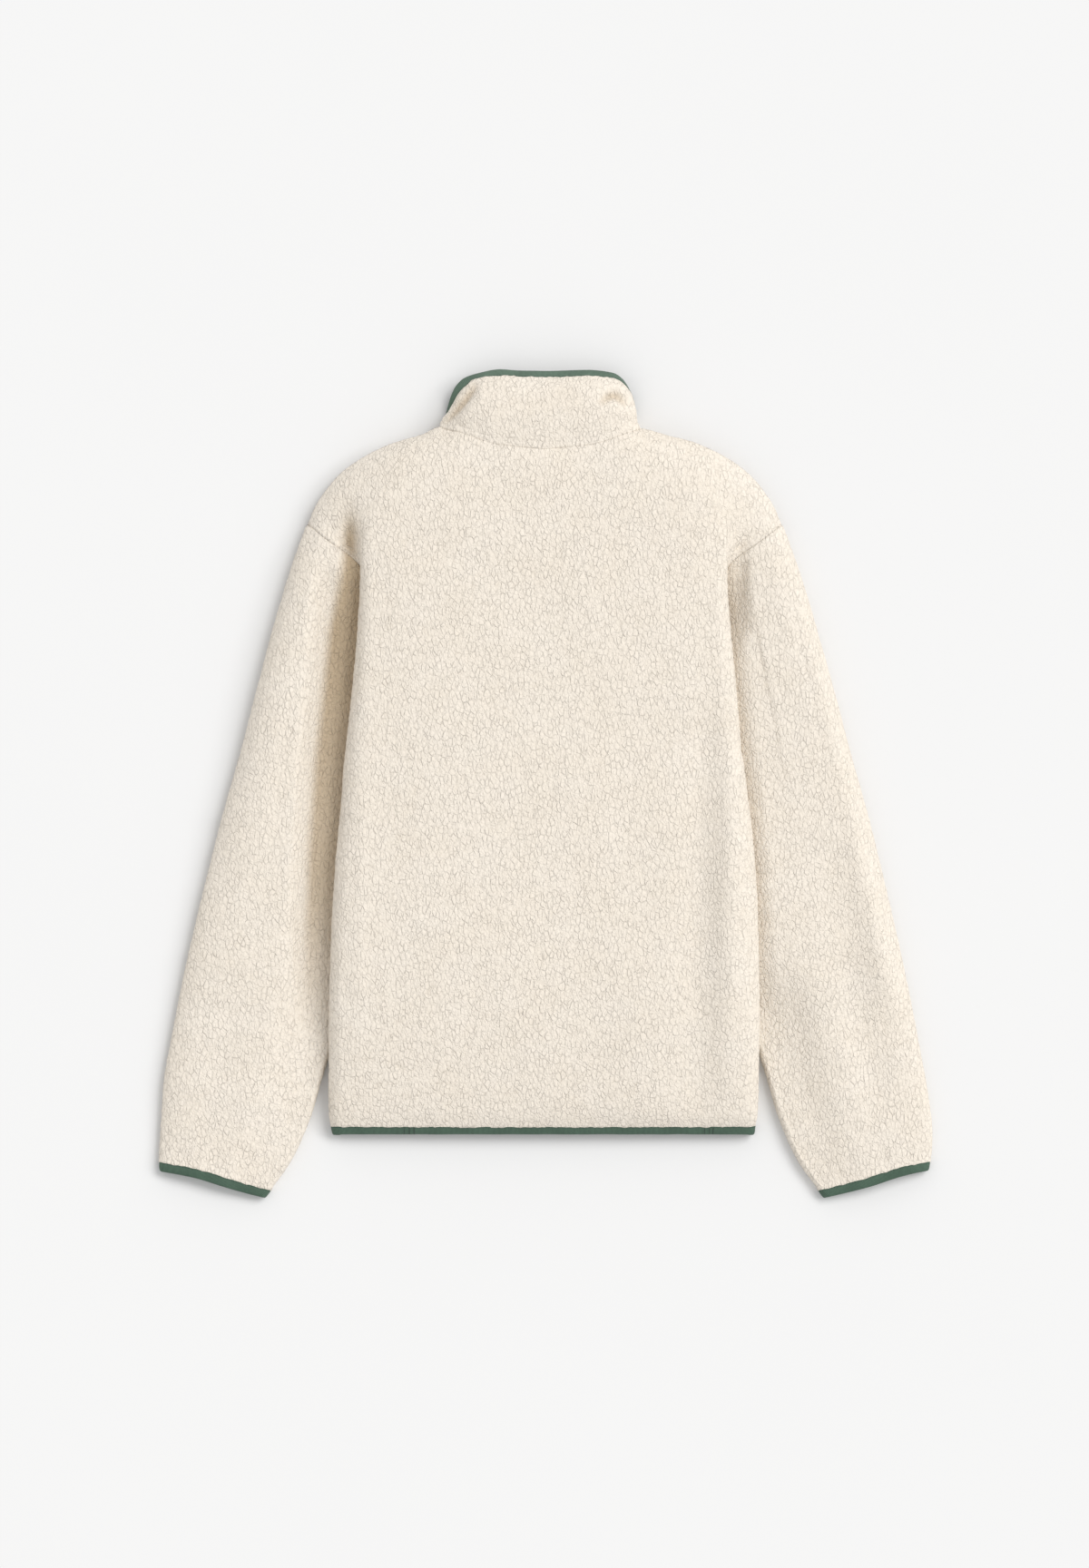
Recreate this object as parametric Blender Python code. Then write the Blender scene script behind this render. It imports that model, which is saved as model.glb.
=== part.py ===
"""Pile fleece jacket, laid flat on its front with the back facing up.

Metres, +Z up, +Y towards the collar, +X to the right of the garment as it is
seen from above.  The origin is under the middle of the laid-out jacket, on the
surface it lies on.

Every cloth piece is a wall of fleece.  The middle of each wall is a surface
worked out from the tables below.  The tables give places on the lay in
drafting units: m is the distance from the centre line and y the distance down
from the top of the drafting sheet.  Heights z are in millimetres.
"""
import math

import bmesh
import bpy
import numpy as np
from mathutils import Vector

# ---------------------------------------------------------------- dimensions
UNIT = 0.000874            # metres for one drafting unit
SHEET_Y = 863.68           # drafting y of the origin
MM = 0.001

WALL = 4.0 * MM            # fleece, pile and knitted ground together
PRESSED = 1.6 * MM         # fleece pressed flat inside a binding
SEAM_GAP = 0.3 * MM        # between two pieces that are sewn together
BIND_COVER = 7.0 * MM      # fleece covered by the binding
BIND_WALL = 0.85 * MM      # stretch binding
BIND_CLEAR = 0.3 * MM      # between the fleece and the binding
FLAT_Z = 2.0               # middle of the cloth that rests on the surface
HALF = WALL / 2 / UNIT     # from the outline of a piece in to its middle surface
CORNER_RELIEF = 1.1 * MM   # where three or four seams meet in one place

ZIP_TAPE_W = 11.0 * MM
ZIP_TAPE_T = 0.9 * MM
ZIP_CHAIN_W = 5.0 * MM
ZIP_CHAIN_T = 1.4 * MM
SLIDER_W = 7.6 * MM
SLIDER_L = 11.0 * MM
TAB_L = 22.0 * MM
TAB_W = 4.6 * MM
TAB_T = 1.2 * MM
LUG_IN = 2.25 * MM         # lugs beside the end of the tab
LUG_OUT = 3.35 * MM

# ------------------------------------------------- back: shoulder to fold line
# shoulder seam and back neck seam, from the sleeve head to the centre back
SHOULDER = (  # m, y, z
    (260, 579.5, 13.0),
    (253, 562.5, 13.5),
    (240.2, 542.5, 14.0),
    (221.3, 521.6, 15.0),
    (191.8, 502, 16.5),
    (155.2, 486, 19.0),
    (111.5, 472, 22.0),
    (88, 480, 34.0),
    (50, 492, 38.5),
    (0, 497, 40.0),
)
# the first row of the back below the yoke, where the side fold begins
FOLD_START = (  # m, y, z
    (204, 622, 23.5),
    (203.5, 617, 26.0),
    (203.5, 612, 29.0),
    (202.5, 606, 32.5),
    (199, 600, 36.5),
    (189, 594, 40.8),
    (150, 590, 44.0),
    (100, 588, 45.0),
    (50, 588, 45.3),
    (0, 588, 45.5),
)
# rows between the two: how far down each row lies and how much it has risen
YOKE_ROWS = (  # way, rise, armhole m, armhole y, armhole z
    (0.14, 0.50, 251.5, 586, 21.0),
    (0.36, 0.80, 243, 593, 26.0),
    (0.68, 0.96, 225, 606, 27.5),
)

# ------------------------------------------------------- back: sections below
# seam is the armhole down to y 830 and the side seam from there on; the fold
# is the widest place of the rounded side; under is the cloth that has turned
# below it
SECTIONS = (  # y, seam_m, seam_z, under_z, fold_left, fold_right, fold_z, roll_z, top_z
    (650, 190, 16.8, 20.5, 203.0, 201.0, 31.0, 41.0, 45.0),
    (708, 170, 12.3, 16.6, 206.5, 203.5, 29.0, 40.2, 45.5),
    (765, 150, 11.8, 15.4, 212.0, 207.0, 28.0, 39.8, 46.0),
    (812, 131, 11.2, 15.0, 217.0, 211.5, 27.3, 39.2, 46.0),
    (830, 125, 7.6, 15.0, 219.0, 213.5, 27.0, 39.0, 46.0),
    (848, 119, 7.8, 15.0, 221.0, 215.5, 27.0, 39.0, 46.0),
    (885, 122, 8.0, 14.9, 223.5, 219.5, 27.0, 39.0, 46.0),
    (950, 149, 8.0, 14.8, 229.5, 226.0, 27.0, 38.8, 46.0),
    (1010, 171, 8.0, 14.8, 233.5, 230.5, 27.0, 38.5, 45.5),
    (1075, 193, 7.8, 14.7, 236.0, 233.5, 26.5, 37.5, 44.0),
    (1130, 209, 7.4, 14.4, 237.0, 234.5, 25.0, 35.0, 41.0),
    (1170, 215, 6.2, 0.0, 237.0, 234.0, 22.0, 31.0, 36.5),
    (1205, 220, 5.0, 0.0, 237.5, 234.0, 18.5, 26.5, 31.5),
    (1227, 223, 4.2, 0.0, 237.0, 233.5, 15.5, 22.5, 26.5),
    (1240.6, 224.5, 3.8, 0.0, 235.0, 232.0, 12.0, 16.8, 19.8),
)
TUCK_END = 1150            # below this y no sleeve lies under the body
HEM_STEP = 2.6             # the front hem lies this far short of the back hem
MIDDLE = (150.0, 100.0, 50.0, 0.0)      # m of the four inner columns

# ------------------------------------------------------------ front, underside
FRONT_NECK = (  # m, y, z from the shoulder point to the zip
    (107, 483, 9.0),
    (88, 512, 3.0),
    (45, 548, 2.0),
    (5, 562, 2.0),
)
FRONT_ARMHOLE = (  # m, y, z
    (254.5, 589, 6.5),
    (249, 598, 3.0),
    (241, 612, 2.0),
    (230, 634, 2.0),
    (214, 668, 2.0),
    (190, 720, 2.0),
    (162, 770, 2.0),
    (137, 811, 2.3),
)
FRONT_SPREAD = (0.0, 0.10, 0.21, 0.32, 0.43, 0.54, 0.65, 0.75, 0.84, 0.92, 1.0)
FRONT_YOKE = (  # way, fall
    (0.10, 0.62),
    (0.27, 0.97),
    (0.50, 1.0),
    (0.76, 1.0),
)
ZIP_EDGE = 5.0                          # m of the front edges

# ---------------------------------------------------------------------- sleeve
STATIONS = (  # outer_m, outer_y, inner_m, inner_y, valley, crown_z, outer_z, inner_z, tongue_z
    (276, 618, 132, 847, 0.54, 31.0, 13.0, 5.6, 9.4),
    (290, 660, 139, 864, 0.50, 32.0, 13.5, 5.6, 9.3),
    (314, 740, 151, 903, 0.44, 31.5, 13.5, 5.6, 9.2),
    (336, 820, 166, 950, 0.37, 30.5, 13.0, 5.6, 9.2),
    (357.5, 900, 186, 1010, 0.28, 29.0, 12.5, 5.6, 9.2),
    (376, 980, 207, 1075, 0.19, 27.0, 12.0, 5.8, 9.4),
    (393, 1055, 226, 1130, 0.12, 25.0, 11.0, 6.0, 9.8),
    (408, 1128, 241, 1180, 0.08, 23.0, 10.5, 7.0, 11.0),
    (420.5, 1196, 256, 1230, 0.06, 20.5, 9.5, 7.6, 11.5),
    (427, 1246, 276, 1276, 0.05, 17.5, 8.5, 7.4, 11.0),
    (426.5, 1282, 301, 1312, 0.05, 15.0, 7.6, 7.0, 10.0),
)
TOP_SPREAD = (0.0, 0.0, 0.0, 0.0, 0.0, 0.17, 0.40, 0.68, 0.90, 1.0)   # past the valley
UNDER_SPREAD = (1.0, 0.975, 0.91, 0.79, 0.65, 0.50, 0.35, 0.20, 0.035, 0.0)

# ---------------------------------------------------------------------- collar
# columns run from the centre back round the side to the front edge; each has
# four places from the neck seam up to where the binding begins
COLLAR = (  # (m, y, z) at the seam, one third, two thirds, top
    ((0, 497, 40.0), (0, 467, 41.5), (0, 437, 37.5), (0, 416.5, 24.5)),
    ((50, 492, 38.5), (49, 463, 40.5), (48, 435, 36.5), (47, 415.8, 24.0)),
    ((88, 480, 34.0), (84.5, 457, 34.5), (81, 436, 31.0), (77, 420.5, 21.5)),
    ((111.5, 472, 22.0), (106.5, 461, 21.0), (103, 451, 19.0), (99.5, 440.5, 15.0)),
    ((107, 483, 9.0), (106.5, 476, 8.2), (105.5, 468, 7.6), (104, 459, 7.2)),
    ((88, 512, 3.0), (87, 500, 2.2), (85, 489, 2.0), (81, 478, 2.0)),
    ((45, 548, 2.0), (45, 527, 2.0), (44, 507, 2.0), (43, 489, 2.0)),
    ((5, 562, 2.0), (5, 538, 2.0), (5, 514, 2.0), (5, 492, 2.0)),
)
COLLAR_SHIFT_RIGHT = (  # m, y added to the right half above the seam, by column
    (0.0, 0.0), (0.0, 0.0), (1.0, -1.0), (-5.0, -2.0), (-4.0, 0.0), (0.0, 0.0), (0.0, 0.0), (0.0, 0.0),
)

# --------------------------------------------------------------------- colours
FLEECE = (0.830, 0.745, 0.640)
BINDING = (0.060, 0.105, 0.078)
TAPE = (0.055, 0.090, 0.070)
METAL = (0.560, 0.560, 0.540)


# ------------------------------------------------------------------ mathematics
def pchip(points, steps):
    """Smooth curve through points that never swings past them."""
    pts = np.asarray(points, dtype=float)
    slope = np.diff(pts, axis=0)
    tangent = np.zeros_like(pts)
    a, b = slope[:-1], slope[1:]
    same = (a * b) > 0
    total = np.where(np.abs(a + b) < 1e-12, 1.0, a + b)
    tangent[1:-1] = np.where(same, 2.0 * a * b / total, 0.0)
    tangent[0], tangent[-1] = slope[0], slope[-1]
    out = []
    for i in range(len(pts) - 1):
        n = steps[i]
        for k in range(n):
            t = k / n
            h00 = 2 * t**3 - 3 * t**2 + 1
            h10 = t**3 - 2 * t**2 + t
            h01 = -2 * t**3 + 3 * t**2
            h11 = t**3 - t**2
            out.append(h00 * pts[i] + h10 * tangent[i] + h01 * pts[i + 1] + h11 * tangent[i + 1])
    out.append(pts[-1])
    return np.array(out)


def net_surface(net, row_steps, col_steps):
    """Fill a net of places (rows, columns, 3) in both directions."""
    net = np.asarray(net, dtype=float)
    rows = np.stack([pchip(net[:, c], row_steps) for c in range(net.shape[1])], axis=1)
    return np.stack([pchip(rows[r], col_steps) for r in range(rows.shape[0])], axis=0)


def to_world(grid, side):
    """Drafting places to metres; side is -1 on the left and +1 on the right."""
    g = np.asarray(grid, dtype=float)
    out = np.empty_like(g)
    out[..., 0] = side * g[..., 0] * UNIT
    out[..., 1] = (SHEET_Y - g[..., 1]) * UNIT
    out[..., 2] = g[..., 2] * MM
    return out


# ------------------------------------------------------------------ cloth nets
def back_half(side):
    """Rows from shoulder to hem, columns from the seam to the centre back."""
    rows = [list(SHOULDER)]
    for way, rise, am, ay, az in YOKE_ROWS:
        row = [(am, ay, az)]
        for top, low in zip(SHOULDER[1:], FOLD_START[1:]):
            row.append((top[0] + (low[0] - top[0]) * way,
                        top[1] + (low[1] - top[1]) * way,
                        top[2] + (low[2] - top[2]) * rise))
        rows.append(row)
    rows.append(list(FOLD_START))
    for y, seam_m, seam_z, under_z, fold_l, fold_r, fold_z, roll_z, top_z in SECTIONS:
        fold = (fold_l if side < 0 else fold_r) - HALF
        if y < TUCK_END:
            low = (fold - 5.5, y, under_z + 4.2)
            first = (seam_m + 0.8, y, min(seam_z + 4.6, under_z - 1.2))
            second = (min(seam_m + 8.0, low[0] - 2.5), y, under_z)
        else:
            low, second, first = [
                (seam_m + (fold - seam_m) * math.sin(math.radians(a)), y,
                 seam_z + (fold_z - seam_z) * (1.0 - math.cos(math.radians(a))))
                for a in (70, 48, 25)]
        rows.append([
            (seam_m, y, seam_z),
            first,
            second,
            low,
            (fold, y, fold_z),
            (fold - 10.5, y, roll_z),
            (MIDDLE[0], y, top_z - 1.0),
            (MIDDLE[1], y, top_z - 0.3),
            (MIDDLE[2], y, top_z),
            (MIDDLE[3], y, top_z),
        ])
    return rows


def front_half(side):
    """Rows from shoulder to hem, columns from the seam to the zip."""
    back = back_half(side)
    top = [back[0][c] for c in range(7)] + list(FRONT_NECK)
    y5 = FRONT_ARMHOLE[4][1]
    chest = [(FRONT_ARMHOLE[4][0] + (ZIP_EDGE - FRONT_ARMHOLE[4][0]) * f, y5, FLAT_Z)
             for f in FRONT_SPREAD]
    rows = [top]
    for (way, fall), arm in zip(FRONT_YOKE, FRONT_ARMHOLE):
        row = [arm]
        for a, b in zip(top[1:], chest[1:]):
            row.append((a[0] + (b[0] - a[0]) * way,
                        a[1] + (b[1] - a[1]) * way,
                        a[2] + (b[2] - a[2]) * fall))
        rows.append(row)
    rows.append(chest)
    for m, y, z in FRONT_ARMHOLE[5:]:
        rows.append([(m + (ZIP_EDGE - m) * f, y, z if f == 0.0 else FLAT_Z)
                     for f in FRONT_SPREAD])
    for row in back[9:]:
        m, y, z = row[0]
        line = [(m, y, z)]
        line.append((m - 5.5, y, FLAT_Z + 0.22 * (z - FLAT_Z)))
        for f in FRONT_SPREAD[2:]:
            line.append((m + (ZIP_EDGE - m) * f, y, FLAT_Z))
        line[2] = (m - 0.5 * (m - line[3][0]), y, FLAT_Z)
        rows.append(line)
    for row, share in ((rows[-1], 1.0), (rows[-2], 0.4)):
        for c, f in enumerate(FRONT_SPREAD):
            m, y, z = row[c]
            row[c] = (m, y - HEM_STEP * share * min(1.0, f / 0.2), z)
    return rows


def sleeve_rings(side):
    """Rings from the armhole to the cuff.

    Columns run from the underarm over the top to the outer edge (0 to 9) and
    back along the underside to the underarm (9 to 18).
    """
    back = back_half(side)
    head = [back[r][0] for r in range(9, -1, -1)]
    under = list(FRONT_ARMHOLE) + [back[9][0]]
    ring0 = head + under
    rings = [ring0]
    body = []
    for om, oy, im, iy, valley, crown, outer_z, inner_z, tongue in STATIONS:
        peak = valley + (1.0 - valley) * 0.46
        span = math.hypot(om - im, oy - iy)
        ux, uy = (om - im) / span, (oy - iy) / span
        om, oy = om - ux * HALF, oy - uy * HALF
        if iy > 1170:
            im, iy = im + ux * HALF, iy + uy * HALF
        edge = 4.2 / span
        ring = []
        for j, s in enumerate(TOP_SPREAD):
            if j == 0:
                f = 0.0
            elif j == 1:
                f = edge
            elif j < 4:
                f = edge + (valley - edge) * (j - 1) / 3.0
            else:
                f = valley + (1.0 - valley) * s
            if j == 0:
                z = inner_z
            elif j == 9:
                z = outer_z
            elif f <= valley:
                z = tongue
            elif f < peak:
                t = (f - valley) / (peak - valley)
                z = tongue + (crown - tongue) * t * t * (3.0 - 2.0 * t)
            else:
                t = (f - peak) / (1.0 - peak)
                z = outer_z + (crown - outer_z) * math.sqrt(max(0.0, 1.0 - t**2.4))
            ring.append((im + (om - im) * f, iy + (oy - iy) * f, z))
        for j, f in enumerate(UNDER_SPREAD[1:], start=1):
            if j == 9:
                z = inner_z
            elif j == 1:
                z = FLAT_Z + 0.22 * (outer_z - FLAT_Z)
            else:
                z = FLAT_Z
            if j == 8:
                f = edge
            ring.append((im + (om - im) * f, iy + (oy - iy) * f, z))
        body.append(ring)
    # a ring close to the armhole, so that the cloth turns round before it runs on
    near = []
    for j, (a, b) in enumerate(zip(ring0, body[0])):
        if j in (1, 2, 3):
            near.append((a[0] + 1.2, a[1] + 1.6, a[2] - 2.6))
        elif j == 4:
            near.append((a[0] + 1.6, a[1] + 3.0, a[2] - 3.0))
        elif j == 5:
            near.append((a[0] + 3.0, a[1] + 8.0, a[2] - 2.6))
        else:
            reach = math.hypot(b[0] - a[0], b[1] - a[1])
            t = min(0.5, 9.0 / max(reach, 1.0))
            near.append((a[0] + (b[0] - a[0]) * t, a[1] + (b[1] - a[1]) * t,
                         a[2] + (b[2] - a[2]) * t))
    rings.append(near)
    rings.extend(body)
    return rings


# --------------------------------------------------------------- fine surfaces
ARM_BACK = (1, 1, 2, 2, 2, 2, 1, 1, 1)      # steps between rows of the back armhole
ARM_FRONT = (1,) * 9
BACK_COLS = (1, 1, 1, 1, 1, 1, 2, 2, 2)
FRONT_COLS = (1, 1, 1, 1, 1, 1, 2, 1, 1, 1)
COLLAR_COLS = (2, 2, 2, 2, 1, 1, 1)
ROWS_BELOW = (1,) * 10
SLEEVE_STEPS = (1,) * 12
COLLAR_ROWS = (2, 1, 1)


def surfaces():
    """Middle surface of each fleece piece, as a grid of places in metres."""
    out = {}
    halves = {}
    for side in (-1, 1):
        net = back_half(side)
        halves[side] = to_world(net_surface(net, ARM_BACK + ROWS_BELOW, BACK_COLS), side)
    out["back"] = np.concatenate([halves[-1], halves[1][:, -2::-1]], axis=1)
    for side, name in ((-1, "front_left"), (1, "front_right")):
        net = front_half(side)
        out[name] = to_world(net_surface(net, ARM_FRONT + ROWS_BELOW, FRONT_COLS), side)
    for side, name in ((-1, "sleeve_left"), (1, "sleeve_right")):
        net = sleeve_rings(side)
        cols = ARM_BACK[::-1] + ARM_FRONT
        out[name] = to_world(net_surface(net, SLEEVE_STEPS, cols), side)
    chalf = {}
    for side in (-1, 1):
        cnet = []
        for r in range(4):
            share = (0.0, 0.45, 0.8, 1.0)[r] if side > 0 else 0.0
            cnet.append([(COLLAR[c][r][0] + COLLAR_SHIFT_RIGHT[c][0] * share,
                          COLLAR[c][r][1] + COLLAR_SHIFT_RIGHT[c][1] * share,
                          COLLAR[c][r][2]) for c in range(8)])
        chalf[side] = to_world(net_surface(cnet, COLLAR_ROWS, COLLAR_COLS), side)
    out["collar"] = np.concatenate([chalf[-1][:, ::-1], chalf[1][:, 1:]], axis=1)
    # the shared seams are taken from one piece, so that both sides agree
    n, nf = sum(ARM_BACK), sum(ARM_FRONT)
    for side, sleeve, front in ((-1, "sleeve_left", "front_left"), (1, "sleeve_right", "front_right")):
        col = 0 if side < 0 else -1
        out[sleeve][0, :n + 1] = out["back"][n::-1, col]
        out[sleeve][0, n:] = out[front][:nf + 1, 0]
        out[front][nf:, 0] = out["back"][n:, col]
        out[sleeve][0, -1] = out["back"][n, col]
    out["collar"][0, 5:18] = out["back"][0, 6:19]
    out["collar"][0, 0:6] = out["front_left"][0, 11:5:-1]
    out["collar"][0, 17:23] = out["front_right"][0, 6:12]
    return out


# sign that turns rows x columns into the outward side of each piece
FACING = {"back": 1, "front_left": -1, "front_right": 1,
          "sleeve_left": -1, "sleeve_right": 1, "collar": -1}


def key(p):
    return tuple(int(round(v * 1e5)) for v in p)


def surface_normals(grids):
    """Outward normals, shared by all pieces that meet at a place.

    At the underarm the sleeve turns the other way from the body, so there each
    of the two keeps its own.
    """
    total = {}
    underarm = {key(grids[n][0, 0]) for n in ("sleeve_left", "sleeve_right")}

    def spot(name, p):
        k = key(p)
        return (k, name[:6]) if k in underarm and name.startswith("sleeve") else k

    for name, g in grids.items():
        sign = FACING[name]
        for r in range(g.shape[0] - 1):
            for c in range(g.shape[1] - 1):
                a, b, d, e = g[r, c], g[r, c + 1], g[r + 1, c], g[r + 1, c + 1]
                normal = np.cross(e - a, b - d) * sign
                for p in (a, b, d, e):
                    k = spot(name, p)
                    total[k] = total.get(k, 0.0) + normal
    out = {}
    for name, g in grids.items():
        n = np.empty_like(g)
        for r in range(g.shape[0]):
            for c in range(g.shape[1]):
                v = total[spot(name, g[r, c])]
                n[r, c] = v / max(np.linalg.norm(v), 1e-12)
        out[name] = n
    return out


def unit(v):
    return v / max(float(np.linalg.norm(v)), 1e-12)


# ---------------------------------------------------------------------- solids
def clear_scene():
    for ob in list(bpy.data.objects):
        bpy.data.objects.remove(ob, do_unlink=True)


def material(name, colour, roughness, metallic=0.0):
    mat = bpy.data.materials.new(name)
    mat.use_nodes = True
    shader = mat.node_tree.nodes["Principled BSDF"]
    shader.inputs["Base Color"].default_value = (*colour, 1.0)
    shader.inputs["Roughness"].default_value = roughness
    shader.inputs["Metallic"].default_value = metallic
    return mat


def add_object(name, verts, faces, mat, smooth=None):
    mesh = bpy.data.meshes.new(name)
    mesh.from_pydata([tuple(map(float, v)) for v in verts], [], faces)
    bm = bmesh.new()
    bm.from_mesh(mesh)
    bmesh.ops.recalc_face_normals(bm, faces=bm.faces)
    bm.to_mesh(mesh)
    bm.free()
    ob = bpy.data.objects.new(name, mesh)
    mesh.materials.append(mat)
    bpy.context.scene.collection.objects.link(ob)
    if smooth is not None:
        mesh.shade_smooth()
        mesh.set_sharp_from_angle(angle=math.radians(smooth))
    return ob


def wall_solid(name, grid, normal, half, mat, close=False):
    """A wall of cloth: two skins and a rim round the edge of the grid."""
    rows, cols = grid.shape[:2]
    half = np.asarray(half)[..., None]
    outer = grid + normal * half
    inner = grid - normal * half
    outer[..., 2] = np.maximum(outer[..., 2], 0.0)
    verts = list(outer.reshape(-1, 3)) + list(inner.reshape(-1, 3))
    off = rows * cols
    faces = []
    for r in range(rows - 1):
        for c in range(cols - 1):
            a, b = r * cols + c, r * cols + c + 1
            d, e = a + cols, b + cols
            one = np.linalg.norm(grid[r, c] - grid[r + 1, c + 1])
            two = np.linalg.norm(grid[r, c + 1] - grid[r + 1, c])
            for tri in (((a, b, e), (a, e, d)) if one <= two + 1e-7 else ((a, b, d), (b, e, d))):
                faces.append(tri)
                faces.append(tuple(off + i for i in reversed(tri)))
    loop = [c for c in range(cols)]
    loop += [r * cols + cols - 1 for r in range(1, rows)]
    loop += [(rows - 1) * cols + c for c in range(cols - 2, -1, -1)]
    loop += [r * cols for r in range(rows - 2, 0, -1)]
    for i, a in enumerate(loop):
        b = loop[(i + 1) % len(loop)]
        one = np.linalg.norm(np.subtract(verts[a], verts[off + b]))
        two = np.linalg.norm(np.subtract(verts[b], verts[off + a]))
        if one <= two:
            faces.extend(((a, off + a, off + b), (a, off + b, b)))
        else:
            faces.extend(((a, off + a, b), (off + a, off + b, b)))
    return add_object(name, verts, faces, mat, smooth=50)


def edge_frame(grid, normal):
    """At the last row: place, direction off the cloth and normal."""
    p = grid[-1]
    n = normal[-1]
    t = np.empty_like(p)
    for c in range(p.shape[0]):
        d = grid[-1, c] - grid[-2, c]
        d = d - n[c] * float(np.dot(d, n[c]))
        t[c] = unit(d)
    return p, t, n


def pull_in(grid, sides, corners, relief):
    """Move the sewn edges of a piece back by half the seam gap."""
    g = grid.copy()

    def gap(p):
        return relief if key(p) in corners else SEAM_GAP / 2

    if "first_row" in sides:
        for c in range(g.shape[1]):
            g[0, c] = grid[0, c] + unit(grid[1, c] - grid[0, c]) * gap(grid[0, c])
    if "first_col" in sides:
        for r in range(g.shape[0]):
            g[r, 0] = g[r, 0] + unit(grid[r, 1] - grid[r, 0]) * gap(grid[r, 0])
    if "last_col" in sides:
        for r in range(g.shape[0]):
            g[r, -1] = g[r, -1] + unit(grid[r, -2] - grid[r, -1]) * gap(grid[r, -1])
    return g


def binding_solid(name, p, t, n, mat, closed):
    """A folded tape: a channel that holds the pressed edge of the fleece."""
    inner = PRESSED / 2 + BIND_CLEAR
    outer = inner + BIND_WALL
    lip = 1.3 * MM
    bottom = 0.4 * MM + BIND_COVER + BIND_CLEAR
    profile = (
        (lip, outer), (bottom + 0.2 * MM, outer), (bottom + BIND_WALL, 0.45 * outer),
        (bottom + BIND_WALL, -0.45 * outer), (bottom + 0.2 * MM, -outer), (lip, -outer),
        (lip, -inner), (bottom, -inner), (bottom, inner), (lip, inner),
    )
    k = len(profile)
    count = p.shape[0]
    verts = []
    for i in range(count):
        for a, b in profile:
            v = p[i] + t[i] * a + n[i] * b
            v[2] = max(v[2], 0.0)
            verts.append(v)
    faces = []
    spans = count if closed else count - 1
    for i in range(spans):
        j = (i + 1) % count
        # the same diagonal as the fleece inside, so that the gap stays even
        near_i, near_j = p[i] + t[i] * 0.4 * MM, p[j] + t[j] * 0.4 * MM
        far_i, far_j = near_i + t[i] * BIND_COVER, near_j + t[j] * BIND_COVER
        forward = np.linalg.norm(near_i - far_j) <= np.linalg.norm(near_j - far_i) + 1e-7
        for q in range(k):
            w = (q + 1) % k
            a, b, c, d = i * k + q, i * k + w, j * k + w, j * k + q
            if forward == (profile[q][0] <= profile[w][0]):
                faces.extend(((a, b, c), (a, c, d)))
            else:
                faces.extend(((a, b, d), (b, c, d)))
    if not closed:
        for i in (0, count - 1):
            s = i * k
            faces.append((s, s + 1, s + 8, s + 9))
            faces.append((s + 1, s + 2, s + 3, s + 4, s + 7, s + 8))
            faces.append((s + 4, s + 5, s + 6, s + 7))
    return add_object(name, verts, faces, mat, smooth=50)


def merge_frames(*frames):
    """Join edge frames end to end, one place at each shared seam."""
    ps, ts, ns = [], [], []
    for p, t, n in frames:
        start = 0
        if ps and np.linalg.norm(ps[-1] - p[0]) < 1e-5:
            ts[-1] = unit(ts[-1] + t[0])
            start = 1
        ps.extend(p[start:])
        ts.extend(t[start:])
        ns.extend(n[start:])
    return np.array(ps), np.array(ts), np.array(ns)


def prism(name, outline, z0, z1, mat, smooth=None):
    """An upright prism over an outline in the plane of the lay."""
    k = len(outline)
    verts = [(x, y, z0) for x, y in outline] + [(x, y, z1) for x, y in outline]
    faces = [tuple(range(k)), tuple(range(2 * k - 1, k - 1, -1))]
    for i in range(k):
        j = (i + 1) % k
        faces.append((i, j, k + j, k + i))
    return add_object(name, verts, faces, mat, smooth)


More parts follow.
